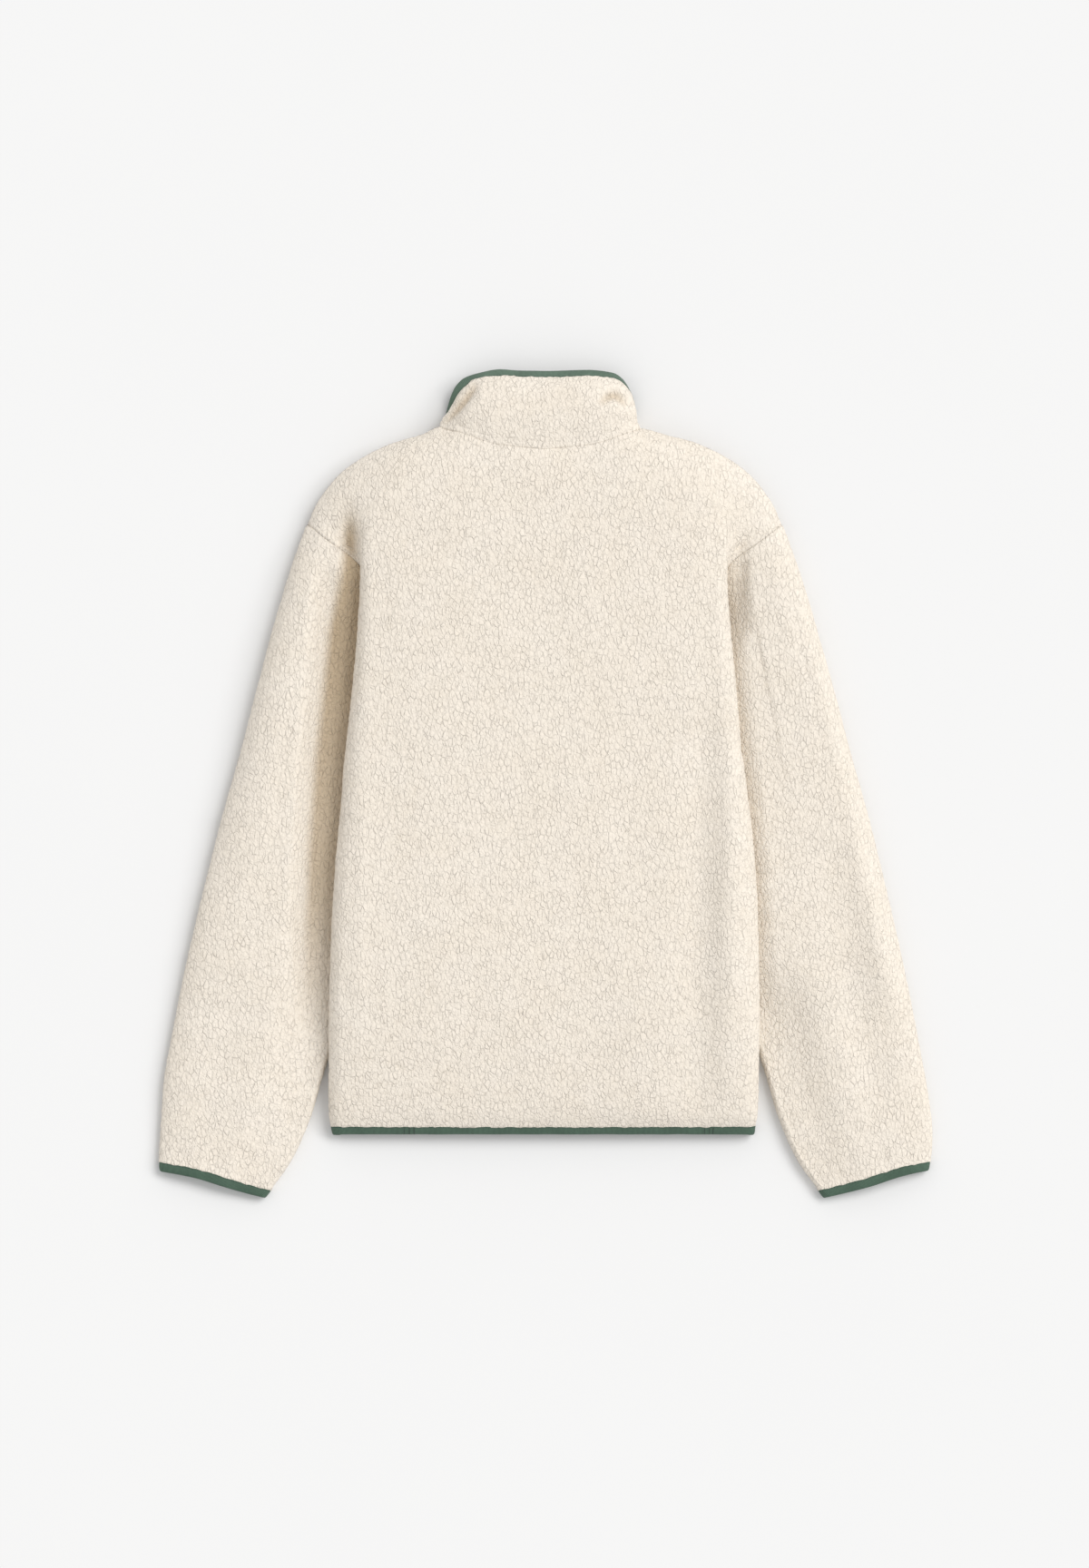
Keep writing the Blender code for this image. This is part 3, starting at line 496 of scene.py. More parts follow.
# small moves of the lay towards the outline: middle x and y, reach x and y, and
# the move in x and y, all in drafting units, and the move of the upper layer in mm
NUDGES = (  # x, y, reach x, reach y, dx, dy, dz
    (256, 790, 62, 190, 4.4, 0.0, 0.0),
    (930, 790, 55, 190, -2.0, 0.0, 0.0),
    (714, 466, 17, 16, -8.0, 1.5, 0.0),
    (738, 478, 26, 9, -4.0, 2.5, 0.0),
    (455, 478, 24, 9, 5.0, 1.8, 0.0),
    (536, 410, 24, 12, 2.6, -0.8, 0.0),
    (666, 410, 24, 10, -2.2, 0.2, 0.0),
    (598, 411, 66, 20, 0.0, 1.8, 0.0),
    (485, 464, 11, 8, -5.0, 0.0, 0.0),
    (205, 1296, 52, 17, 3.0, -4.0, 0.0),
    (1005, 1292, 46, 17, -3.0, -3.6, 0.0),
    (176, 1240, 18, 36, 4.0, 0.0, 0.0),
    (384, 600, 9, 28, 0.0, 0.0, -8.0),
    (815, 604, 8, 22, 0.0, 0.0, -3.0),
)


def nudge(g):
    """The same places, moved a little in the plane of the lay."""
    x = 600.0 + g[..., 0] / UNIT
    y = SHEET_Y - g[..., 1] / UNIT
    out = g.copy()
    over = soft_step((g[..., 2] - 10 * MM) / (6 * MM))
    for x0, y0, rx, ry, dx, dy, dz in NUDGES:
        w = np.exp(-((x - x0) / rx) ** 2 - ((y - y0) / ry) ** 2)
        out[..., 2] += dz * MM * w * over
        out[..., 0] += dx * UNIT * w
        out[..., 1] -= dy * UNIT * w
    return out


def soft_step(v):
    v = np.clip(v, 0.0, 1.0)
    return v * v * (3.0 - 2.0 * v)


def past_fold(g):
    """How far each place lies outside the rolled side of the body, in drafting units."""
    x, y = g[..., 0], SHEET_Y - g[..., 1] / UNIT
    ys = [s[0] for s in SECTIONS]
    left = np.interp(y, ys, [s[4] for s in SECTIONS])
    right = np.interp(y, ys, [s[5] for s in SECTIONS])
    return np.abs(x) / UNIT - np.where(x < 0, left, right)


def beyond_fold(g):
    """0 where a sleeve lies under the rolled side of the body, 1 from a little past it."""
    return soft_step((past_fold(g) + 3.0) / 9.0)


# the left turn of the collar: where its edge runs and which way the binding points
COLLAR_TURN = (  # column, x, y, z mm, share, tx, ty, tz
    (-5.0, 519, 478, 2.0, 0.0, 0.0, 1.0, 0.0),
    (-4.2, 498, 459, 8.5, 0.8, -0.55, -0.05, -0.80),
    (-3.8, 501, 450, 12.5, 1.0, -0.72, 0.0, -0.65),
    (-3.4, 505, 441, 15.5, 1.0, -0.85, 0.25, -0.45),
    (-3.0, 509, 433, 18.0, 1.0, -0.78, 0.52, -0.35),
    (-2.5, 515, 426, 20.0, 0.9, -0.52, 0.80, -0.30),
    (-2.0, 523, 421, 21.5, 0.0, 0.0, 0.9, -0.40),
)


def turn_at(cols_at):
    """The table above at every column: places, shares and directions."""
    tab = np.array(COLLAR_TURN)
    vals = [np.interp(cols_at, tab[:, 0], tab[:, k]) for k in range(1, 8)]
    share = np.where((cols_at < -5.0) | (cols_at > -2.0), 0.0, vals[3])
    place = np.stack([(vals[0] - 600.0) * UNIT, (SHEET_Y - vals[1]) * UNIT, vals[2] * MM], axis=1)
    return place, share, unit_rows(np.stack(vals[4:7], axis=1))


def turned_collar(g, rows_at, cols_at):
    place, share, _ = turn_at(cols_at)
    delta = (place - g[-1]) * share[:, None]
    w = (rows_at / rows_at[-1])[:, None, None] ** 2
    return g + w * delta[None]


def beside_body(name, g, rows_at, cols_at):
    """The left sleeve sinks in a wide hollow beside the body; the right one lies high against it."""
    y = SHEET_Y - g[..., 1] / UNIT
    past = past_fold(g)
    top = soft_step(8.6 - cols_at)[None, :] * soft_step((rows_at - 1.0) / 1.2)[:, None]
    out = g.copy()
    z = g[..., 2]
    if name == "sleeve_left":
        along = soft_step((y - 600) / 50) * soft_step((1165 - y) / 90)
        floor = (6.4 + 24.0 * soft_step((past - 23.0) / 36.0)) * MM
        out[..., 2] = z - np.maximum(z - floor, 0.0) * top * along * (past > -40)
    else:
        along = soft_step((y - 655) / 60) * soft_step((1130 - y) / 90)
        shelf = (23.5 + 5.5 * soft_step(past / 24.0)) * MM
        out[..., 2] = z + np.maximum(shelf - z, 0.0) * top * along * soft_step((past + 2.0) / 5.0)
    return out


def grid_normals(name, g):
    du = np.gradient(g, axis=0)
    dv = np.gradient(g, axis=1)
    n = np.cross(du, dv) * FACING[name]
    length = np.linalg.norm(n, axis=-1, keepdims=True)
    n = n / np.maximum(length, 1e-15)
    for _ in range(2):                                   # soften
        pad = np.pad(n, ((1, 1), (1, 1), (0, 0)), mode="edge")
        n = unit_rows(pad[1:-1, 1:-1] * 2 + pad[:-2, 1:-1] + pad[2:, 1:-1] + pad[1:-1, :-2] + pad[1:-1, 2:])
    return n


def arc(g, axis, back=False):
    """Distance along the cloth from one edge of the grid, in metres."""
    d = np.linalg.norm(np.diff(g, axis=axis), axis=-1)
    if back:
        d = np.flip(d, axis=axis)
    s = np.cumsum(d, axis=axis)
    pad = [(0, 0), (0, 0)]
    pad[axis] = (1, 0)
    s = np.pad(s, pad)
    return np.flip(s, axis=axis) if back else s


# ------------------------------------------------------------ pile and noise
RNG = np.random.RandomState(2711)
JITTER = RNG.rand(4096, 4)


def cells(p, size, seed=0):
    """Cell noise: distance to the nearest and next tuft, in cells, and a number for the tuft."""
    q = p / np.asarray(size)
    base = np.floor(q).astype(np.int64)
    f1 = np.full(len(q), 9.0)
    f2 = np.full(len(q), 9.0)
    tag = np.zeros(len(q))
    for ox in (-1, 0, 1):
        for oy in (-1, 0, 1):
            for oz in (-1, 0, 1):
                c = base + (ox, oy, oz)
                h = (c[:, 0] * 73856093 ^ c[:, 1] * 19349663 ^ c[:, 2] * 83492791 ^ seed) & 4095
                j = JITTER[h]
                d = np.linalg.norm(c + j[:, :3] - q, axis=1)
                closer = d < f1
                f2 = np.where(closer, f1, np.minimum(f2, d))
                tag = np.where(closer, j[:, 3], tag)
                f1 = np.where(closer, d, f1)
    return f1, f2, tag


def soft_noise(p, size, seed=0):
    """Smooth noise from -1 to 1 with the given spacing in metres."""
    q = p / size
    base = np.floor(q).astype(np.int64)
    f = q - base
    f = f * f * (3.0 - 2.0 * f)
    total = np.zeros(len(q))
    for ox in (0, 1):
        for oy in (0, 1):
            for oz in (0, 1):
                c = base + (ox, oy, oz)
                h = (c[:, 0] * 73856093 ^ c[:, 1] * 19349663 ^ c[:, 2] * 83492791 ^ (seed * 7919)) & 4095
                w = ((f[:, 0] if ox else 1 - f[:, 0]) * (f[:, 1] if oy else 1 - f[:, 1])
                     * (f[:, 2] if oz else 1 - f[:, 2]))
                total += JITTER[h, 3] * w
    return total * 2.0 - 1.0


LEAN = math.radians(11.0)                # tufts lean a little to one side
TUFT = (4.3 * MM, 5.9 * MM, 4.6 * MM)    # across, along and deep


def pile_of(p):
    """Height of the pile from 0 in the cracks to about 1 on a tuft."""
    x = p[:, 0] * math.cos(LEAN) - p[:, 1] * math.sin(LEAN)
    y = p[:, 0] * math.sin(LEAN) + p[:, 1] * math.cos(LEAN)
    q = np.stack([x, y, p[:, 2]], axis=1)
    q = q + 0.0011 * np.stack([soft_noise(q, 0.006, 3), soft_noise(q, 0.006, 4), soft_noise(q, 0.006, 5)], axis=1)
    f1, f2, tag = cells(q, TUFT)
    dome = np.clip(1.0 - (f1 / 0.85) ** 2, 0.0, 1.0)
    crack = np.clip((f2 - f1) / 0.34, 0.0, 1.0)
    return 0.45 * dome + 0.4 * crack + 0.3 * (tag - 0.5) + 0.12


# ---------------------------------------------------------------- creases
# lines of places on the lay (drafting x from the left and y), the half width of
# the crease, and its height: above zero a ridge, below zero a hollow
BACK_CREASES = (  # x1, y1, x2, y2, x3, y3, half width, height mm
    (804, 640, 803, 860, 801, 1210, 17, 6.6),
    (802, 830, 801, 1000, 800, 1250, 58, 6.5),
    (774, 790, 770, 1020, 770, 1244, 25, -5.5),
    (640, 790, 690, 1090, 742, 1238, 34, 1.5),
    (409, 660, 400, 900, 394, 1190, 11, 1.5),
    (452, 700, 440, 960, 450, 1200, 26, -1.2),
    (560, 1120, 470, 1190, 400, 1236, 20, -1.5),
    (700, 1150, 690, 1200, 684, 1240, 34, 1.6),
    (420, 560, 470, 600, 560, 628, 16, -0.9),
    (780, 552, 738, 592, 660, 622, 17, -1.0),
    (404, 556, 406, 610, 404, 690, 8, 1.6),
    (801, 562, 786, 604, 782, 672, 9, -1.2),
    (470, 780, 540, 800, 640, 770, 26, 0.9),
    (560, 930, 640, 960, 700, 940, 30, -0.9),
    (520, 1030, 560, 1050, 640, 1040, 24, 0.8),
    (372, 900, 384, 905, 398, 908, 7, -0.9),
    (822, 1010, 808, 1016, 792, 1018, 8, -1.0),
    (370, 1090, 386, 1098, 404, 1100, 8, -0.9),
)
LEFT_SLEEVE_CREASES = (
    (238, 904, 268, 898, 302, 892, 8, 1.3),
    (226, 962, 262, 958, 316, 940, 11, -1.0),
    (206, 1052, 246, 1060, 322, 1042, 12, 1.1),
    (200, 1100, 250, 1118, 340, 1112, 12, -1.1),
    (186, 1188, 240, 1204, 330, 1214, 13, 1.0),
    (300, 700, 288, 860, 262, 1040, 22, 1.0),
    (262, 1066, 244, 1160, 226, 1262, 20, -1.2),
    (312, 1030, 318, 1120, 296, 1240, 14, 1.1),
    (196, 1262, 200, 1274, 204, 1288, 7, -0.8),
    (232, 1256, 236, 1274, 238, 1296, 7, -0.9),
    (268, 1262, 270, 1280, 272, 1302, 7, -0.8),
)
RIGHT_SLEEVE_CREASES = (
    (820, 588, 817, 625, 816, 668, 8, -3.0),
    (912, 930, 944, 1100, 982, 1262, 24, -4.2),
    (926, 860, 962, 1000, 1000, 1200, 17, 1.8),
    (824, 966, 838, 964, 852, 960, 5, -1.7),
    (826, 991, 842, 988, 858, 983, 5, -1.6),
    (830, 1017, 842, 1014, 856, 1010, 5, -1.4),
    (826, 979, 838, 977, 850, 973, 4, 1.0),
    (850, 780, 880, 800, 920, 806, 12, -1.1),
    (868, 900, 900, 918, 946, 922, 12, 1.1),
    (880, 1040, 906, 1060, 940, 1060, 12, -1.0),
    (888, 1150, 930, 1160, 990, 1150, 14, 1.0),
    (912, 1080, 930, 1160, 944, 1250, 16, 1.2),
    (866, 1130, 880, 1190, 908, 1260, 12, -1.0),
    (932, 1262, 934, 1280, 936, 1300, 7, -0.9),
    (968, 1256, 970, 1270, 974, 1288, 7, -0.9),
    (1000, 1250, 1001, 1264, 1003, 1280, 6, -0.7),
)
COLLAR_CREASES = (
    (526, 424, 510, 446, 488, 470, 5.0, -5.0),
    (512, 426, 500, 442, 492, 456, 4.0, 1.6),
    (538, 432, 524, 450, 506, 468, 7.0, 1.6),
    (660, 450, 676, 438, 690, 452, 5.4, -4.4),
    (660, 458, 680, 455, 698, 460, 6, 1.6),
    (650, 430, 672, 423, 690, 432, 4.5, 1.4),
    (560, 440, 600, 446, 640, 438, 12, -0.8),
    (540, 420, 600, 418, 650, 417, 5, 0.6),
)
FRONT_CREASES = (   # on the hidden side, read from above like the others
    (452, 1180, 470, 1120, 520, 1060, 16, 1.2),
    (760, 1190, 735, 1120, 690, 1050, 17, 1.3),
    (480, 700, 500, 640, 540, 580, 14, 1.2),
    (724, 710, 706, 640, 664, 585, 14, 1.1),
    (560, 800, 568, 900, 562, 1010, 16, 0.9),
    (650, 780, 640, 900, 646, 1000, 15, 0.9),
)


def crease_height(p, table):
    """Total height of the creases at places p, in metres."""
    x = 600.0 + p[:, 0] / UNIT
    y = SHEET_Y - p[:, 1] / UNIT
    total = np.zeros(len(p))
    for x1, y1, x2, y2, x3, y3, width, height in table:
        best = np.full(len(p), 1e9)
        at = np.zeros(len(p))
        way = np.linspace(0.0, 1.0, 11)
        cx = (1 - way) ** 2 * x1 + 2 * way * (1 - way) * (2 * x2 - (x1 + x3) / 2) + way ** 2 * x3
        cy = (1 - way) ** 2 * y1 + 2 * way * (1 - way) * (2 * y2 - (y1 + y3) / 2) + way ** 2 * y3
        for i in range(10):
            ax, ay, bx, by = cx[i], cy[i], cx[i + 1], cy[i + 1]
            dx, dy = bx - ax, by - ay
            t = np.clip(((x - ax) * dx + (y - ay) * dy) / (dx * dx + dy * dy), 0.0, 1.0)
            d = np.hypot(x - ax - t * dx, y - ay - t * dy)
            closer = d < best
            at = np.where(closer, way[i] + t * 0.1, at)
            best = np.minimum(best, d)
        fade = np.sin(np.pi * np.clip(at, 0.0, 1.0)) ** 0.6
        total += height * MM * fade * np.exp(-(best / width) ** 2)
    return total


# ---------------------------------------------------------------- meshes
def new_object(name, verts, quads, extra, mats, smooth=True, mat_index=None, values=None, uv=None, tan=None):
    mesh = bpy.data.meshes.new(name)
    faces = [tuple(q) for q in quads.tolist()] if len(quads) else []
    mesh.from_pydata(np.asarray(verts, dtype=float).tolist(), [], faces + [tuple(f) for f in extra])
    for m in mats:
        mesh.materials.append(m)
    if mat_index is not None:
        mesh.polygons.foreach_set("material_index", np.asarray(mat_index, dtype=np.int32))
    # both attributes hold painted shade: the first darkens the pile in its hollows and along seams, the second tints
    # it where shade falls beside the body and in creases
    if values is not None:
        painted_shade_attribute = mesh.attributes.new("pile", "FLOAT", "POINT")
        painted_shade_attribute.data.foreach_set("value", np.asarray(values, dtype=np.float32))
    if tan is not None:
        painted_shade_attribute = mesh.attributes.new("tan", "FLOAT", "POINT")
        painted_shade_attribute.data.foreach_set("value", np.asarray(tan, dtype=np.float32))
    if uv is not None:
        layer = mesh.uv_layers.new(name="UVMap")
        loops = np.zeros(len(mesh.loops), dtype=np.int32)
        mesh.loops.foreach_get("vertex_index", loops)
        layer.data.foreach_set("uv", np.asarray(uv, dtype=np.float32)[loops].reshape(-1))
    if smooth:
        mesh.shade_smooth()
    mesh.validate()
    mesh.update()
    ob = bpy.data.objects.new(name, mesh)
    bpy.context.scene.collection.objects.link(ob)
    return ob


def shell(name, outer, inner, keep, mats, values=None, flip=False, tan=None):
    """A closed thin shell: fine outer skin, coarser inner skin, and a rim between them."""
    rows, cols = outer.shape[:2]
    fine = np.arange(rows * cols).reshape(rows, cols)
    ri = sorted(set(list(range(0, rows, keep)) + [rows - 1]))
    ci = sorted(set(list(range(0, cols, keep)) + [cols - 1]))
    used = np.zeros((rows, cols), dtype=bool)
    used[np.ix_(ri, ci)] = True
    used[0, :] = used[-1, :] = used[:, 0] = used[:, -1] = True
    index = np.full((rows, cols), -1)
    index[used] = rows * cols + np.arange(used.sum())
    verts = np.concatenate([outer.reshape(-1, 3), inner[used]])
    quads = np.stack([fine[:-1, :-1], fine[:-1, 1:], fine[1:, 1:], fine[1:, :-1]], axis=-1).reshape(-1, 4)
    if flip:
        quads = quads[:, ::-1]
    extra, which = [], []
    for a, b in zip(ri[:-1], ri[1:]):
        for c, d in zip(ci[:-1], ci[1:]):
            top = list(range(c, d + 1)) if a == 0 else [c, d]
            low = list(range(d, c - 1, -1)) if b == rows - 1 else [d, c]
            right = list(range(a, b + 1)) if d == cols - 1 else [a, b]
            left = list(range(b, a - 1, -1)) if c == 0 else [b, a]
            loop = [(a, k) for k in top] + [(k, d) for k in right[1:]] + [(b, k) for k in low[1:]] + [(k, c) for k in left[1:-1]]
            face = [int(index[r, k]) for r, k in loop]
            if not flip:
                face.reverse()
            extra.append(face)
            which.append(1)
    edge = [(0, c) for c in range(cols)] + [(r, cols - 1) for r in range(1, rows)]
    edge += [(rows - 1, c) for c in range(cols - 2, -1, -1)] + [(r, 0) for r in range(rows - 2, 0, -1)]
    for i, a in enumerate(edge):
        b = edge[(i + 1) % len(edge)]
        face = [int(fine[b]), int(fine[a]), int(index[a]), int(index[b])]
        if flip:
            face.reverse()
        extra.append(face)
        which.append(0)
    kinds = [0] * len(quads) + which
    if values is not None:
        values = np.concatenate([values.reshape(-1), np.full(int(used.sum()), 0.55)])
    if tan is not None:
        tan = np.concatenate([tan.reshape(-1), np.zeros(int(used.sum()))])
    return new_object(name, verts, quads, extra, mats, mat_index=kinds, values=values, tan=tan)


# ---------------------------------------------------------------- materials
def nodes_of(name):
    m = bpy.data.materials.new(name)
    m.use_nodes = True
    nt = m.node_tree
    return m, nt, nt.nodes["Principled BSDF"]


def node(nt, kind, **values):
    n = nt.nodes.new(kind)
    for key, v in values.items():
        if key.startswith("in_"):
            name = key[3:]
            n.inputs[int(name) if name.isdigit() else name.replace("_", " ")].default_value = v
        else:
            setattr(n, key, v)
    return n


def ramp(nt, stops):
    n = nt.nodes.new("ShaderNodeValToRGB")
    n.color_ramp.elements[0].position, n.color_ramp.elements[0].color = stops[0][0], (*stops[0][1], 1.0)
    n.color_ramp.elements[1].position, n.color_ramp.elements[1].color = stops[-1][0], (*stops[-1][1], 1.0)
    for at, colour in stops[1:-1]:
        e = n.color_ramp.elements.new(at)
        e.color = (*colour, 1.0)
    return n


def maths(nt, op, a, b=None, c=None, clamp=False):
    n = nt.nodes.new("ShaderNodeMath")
    n.operation = op
    n.use_clamp = clamp
    for i, v in enumerate((a, b, c)):
        if v is None:
            continue
        if isinstance(v, (int, float)):
            n.inputs[i].default_value = v
        else:
            nt.links.new(v, n.inputs[i])
    return n.outputs[0]


def pile_material(name, colour, parting_shade_colour, depth=1.15, inside=False):
    """Tufted pile: cells with cracks between them darkened by painted shade, blotches, painted shade from two vertex
    attributes, and fibres on top.
    """
    m, nt, bsdf = nodes_of(name)
    link = nt.links.new
    tc = node(nt, "ShaderNodeTexCoord")
    warp = node(nt, "ShaderNodeTexNoise", in_Scale=170.0, in_Detail=2.0)
    link(tc.outputs["Object"], warp.inputs["Vector"])
    add = node(nt, "ShaderNodeVectorMath", operation="MULTIPLY_ADD")
    link(warp.outputs["Color"], add.inputs[0])
    add.inputs[1].default_value = (0.0017, 0.0017, 0.0017)
    link(tc.outputs["Object"], add.inputs[2])
    turn = node(nt, "ShaderNodeMapping")
    turn.inputs["Rotation"].default_value = (0.0, 0.0, math.radians(-14))
    turn.inputs["Scale"].default_value = (290.0, 215.0, 250.0)
    link(add.outputs[0], turn.inputs["Vector"])
    edge = node(nt, "ShaderNodeTexVoronoi", feature="DISTANCE_TO_EDGE", in_Scale=1.0)
    link(turn.outputs[0], edge.inputs["Vector"])
    near = node(nt, "ShaderNodeTexVoronoi", feature="F1", in_Scale=1.0)
    link(turn.outputs[0], near.inputs["Vector"])
    clump = node(nt, "ShaderNodeMapping")
    clump.inputs["Rotation"].default_value = (0.0, 0.0, math.radians(-24))
    clump.inputs["Scale"].default_value = (230.0, 140.0, 198.0)
    link(add.outputs[0], clump.inputs["Vector"])
    split = node(nt, "ShaderNodeTexVoronoi", feature="DISTANCE_TO_EDGE", in_Scale=1.0)
    link(clump.outputs[0], split.inputs["Vector"])
    here = node(nt, "ShaderNodeTexNoise", in_Scale=130.0, in_Detail=2.0)
    link(tc.outputs["Object"], here.inputs["Vector"])
    mask = maths(nt, "MULTIPLY", maths(nt, "SUBTRACT", here.outputs["Fac"], 0.20), 2.6, clamp=True)
    # short dark arcs where clumps of tufts part, and a finer net between tufts
    arcs = maths(nt, "SUBTRACT", 1.0, maths(nt, "MULTIPLY", split.outputs["Distance"], 8.0), clamp=True)
    arcs = maths(nt, "MULTIPLY", arcs, mask)
    fine = maths(nt, "SUBTRACT", 1.0, maths(nt, "MULTIPLY", edge.outputs["Distance"], 6.0), clamp=True)
    dome = maths(nt, "SUBTRACT", 1.0, maths(nt, "MULTIPLY", near.outputs["Distance"], near.outputs["Distance"]), clamp=True)
    fibre = node(nt, "ShaderNodeTexNoise", in_Scale=760.0, in_Detail=3.0, in_Roughness=0.6)
    link(tc.outputs["Object"], fibre.inputs["Vector"])
    broad = node(nt, "ShaderNodeTexNoise", in_Scale=26.0, in_Detail=3.0)
    link(tc.outputs["Object"], broad.inputs["Vector"])
    # height of the pile
    height = maths(nt, "SUBTRACT", maths(nt, "MULTIPLY", dome, 0.34), maths(nt, "MULTIPLY", arcs, 0.52))
    height = maths(nt, "SUBTRACT", height, maths(nt, "MULTIPLY", fine, 0.20))
    height = maths(nt, "ADD", height, maths(nt, "MULTIPLY", fibre.outputs["Fac"], 0.30))
    # colour: the partings are darker and warmer, painted shade between the tufts
    low = maths(nt, "ADD", maths(nt, "MULTIPLY", arcs, 0.34), maths(nt, "MULTIPLY", fine, 0.07), clamp=True)
    mix = ramp(nt, ((0.0, colour), (0.30, tuple(c * 0.955 for c in colour)), (1.0, parting_shade_colour)))
    link(low, mix.inputs[0])
    blotch = ramp(nt, ((0.34, (0.985, 0.978, 0.965)), (0.66, (1.0, 1.0, 1.0))))
    link(broad.outputs["Fac"], blotch.inputs[0])
    prod = node(nt, "ShaderNodeMix", data_type="RGBA", blend_type="MULTIPLY")
    prod.inputs["Factor"].default_value = 1.0
    link(mix.outputs[0], prod.inputs["A"])
    link(blotch.outputs[0], prod.inputs["B"])
    # painted shade: the pile attribute darkens the colour in the hollows between tufts and along seams, with some
    # random tone from tuft to tuft
    painted_shade_attribute = node(nt, "ShaderNodeAttribute", attribute_name="pile")
    shade = ramp(nt, ((0.0, (0.80, 0.775, 0.735)), (0.55, (1.0, 1.0, 1.0))))
    link(painted_shade_attribute.outputs["Fac"], shade.inputs[0])
    last = node(nt, "ShaderNodeMix", data_type="RGBA", blend_type="MULTIPLY")
    last.inputs["Factor"].default_value = 0.0 if inside else 0.25
    link(prod.outputs["Result"], last.inputs["A"])
    link(shade.outputs[0], last.inputs["B"])
    # painted shade: this attribute darkens and warms the pile colour where shade falls, beside the body on both
    # sleeves, at the fold under the left armhole and in the collar's creases
    wear_and_painted_shade = node(nt, "ShaderNodeAttribute", attribute_name="tan")
    painted_shade_mix = node(nt, "ShaderNodeMix", data_type="RGBA", blend_type="MULTIPLY")
    painted_shade_mix.inputs["B"].default_value = (0.68, 0.59, 0.465, 1.0)
    link(wear_and_painted_shade.outputs["Fac"], painted_shade_mix.inputs["Factor"])
    link(last.outputs["Result"], painted_shade_mix.inputs["A"])
    link(painted_shade_mix.outputs["Result"], bsdf.inputs["Base Color"])
    bump = node(nt, "ShaderNodeBump", in_Strength=1.0 if not inside else 0.5, in_Distance=depth * MM)
    link(height, bump.inputs["Height"])
    link(bump.outputs[0], bsdf.inputs["Normal"])
    rough = maths(nt, "ADD", 0.86, maths(nt, "MULTIPLY", fibre.outputs["Fac"], 0.14))
    link(rough, bsdf.inputs["Roughness"])
    bsdf.inputs["Specular IOR Level"].default_value = 0.12
    bsdf.inputs["Sheen Weight"].default_value = 0.22
    bsdf.inputs["Sheen Roughness"].default_value = 0.55
    bsdf.inputs["Sheen Tint"].default_value = (1.0, 0.97, 0.92, 1.0)
    return m


def tape_material(name, colour, rib=0.00105, strength=0.75):
    """Knitted tape: fine ribs across it, small loops, painted shade in the grooves and painted highlight on the
    ribs, and a little wear on the fold.
    """
    m, nt, bsdf = nodes_of(name)
    link = nt.links.new
    uv = node(nt, "ShaderNodeUVMap", uv_map="UVMap")
    sep = node(nt, "ShaderNodeSeparateXYZ")
    link(uv.outputs[0], sep.inputs[0])
    noise = node(nt, "ShaderNodeTexNoise", in_Scale=420.0, in_Detail=3.0)
    link(uv.outputs[0], noise.inputs["Vector"])
    u = maths(nt, "ADD", sep.outputs["X"], maths(nt, "MULTIPLY", noise.outputs["Fac"], 0.00035))
    wave = maths(nt, "SINE", maths(nt, "MULTIPLY", u, 2 * math.pi / rib))
    loops = maths(nt, "SINE", maths(nt, "MULTIPLY", sep.outputs["Y"], 2 * math.pi / 0.0009))
    height = maths(nt, "ADD", maths(nt, "MULTIPLY", wave, 0.36), maths(nt, "MULTIPLY", loops, 0.10))
    height = maths(nt, "ADD", height, maths(nt, "MULTIPLY", noise.outputs["Fac"], 0.45))
    # painted shade and highlight: the colour is darker in the grooves and lighter on the tops of the ribs and loops,
    # partly random tone from the noise
    mix = ramp(nt, ((0.0, tuple(c * 0.62 for c in colour)), (0.35, colour), (0.8, tuple(min(1, c * 1.42 + 0.006) for c in colour))))
    link(maths(nt, "ADD", height, 0.12), mix.inputs[0])
    tc = node(nt, "ShaderNodeTexCoord")
    broad = node(nt, "ShaderNodeTexNoise", in_Scale=60.0, in_Detail=2.0)
    link(tc.outputs["Object"], broad.inputs["Vector"])
    wear_and_painted_shade = ramp(nt, ((0.35, (0.86, 0.86, 0.86)), (0.65, (1.0, 1.0, 1.0))))
    link(broad.outputs["Fac"], wear_and_painted_shade.inputs[0])
    prod = node(nt, "ShaderNodeMix", data_type="RGBA", blend_type="MULTIPLY")
    prod.inputs["Factor"].default_value = 1.0
    link(mix.outputs[0], prod.inputs["A"])
    link(wear_and_painted_shade.outputs[0], prod.inputs["B"])
    link(prod.outputs["Result"], bsdf.inputs["Base Color"])
    bump = node(nt, "ShaderNodeBump", in_Strength=strength, in_Distance=0.00035)
    link(height, bump.inputs["Height"])
    link(bump.outputs[0], bsdf.inputs["Normal"])
    link(maths(nt, "ADD", 0.62, maths(nt, "MULTIPLY", noise.outputs["Fac"], 0.25)), bsdf.inputs["Roughness"])
    bsdf.inputs["Specular IOR Level"].default_value = 0.3
    bsdf.inputs["Sheen Weight"].default_value = 0.18
    bsdf.inputs["Sheen Roughness"].default_value = 0.4
    return m


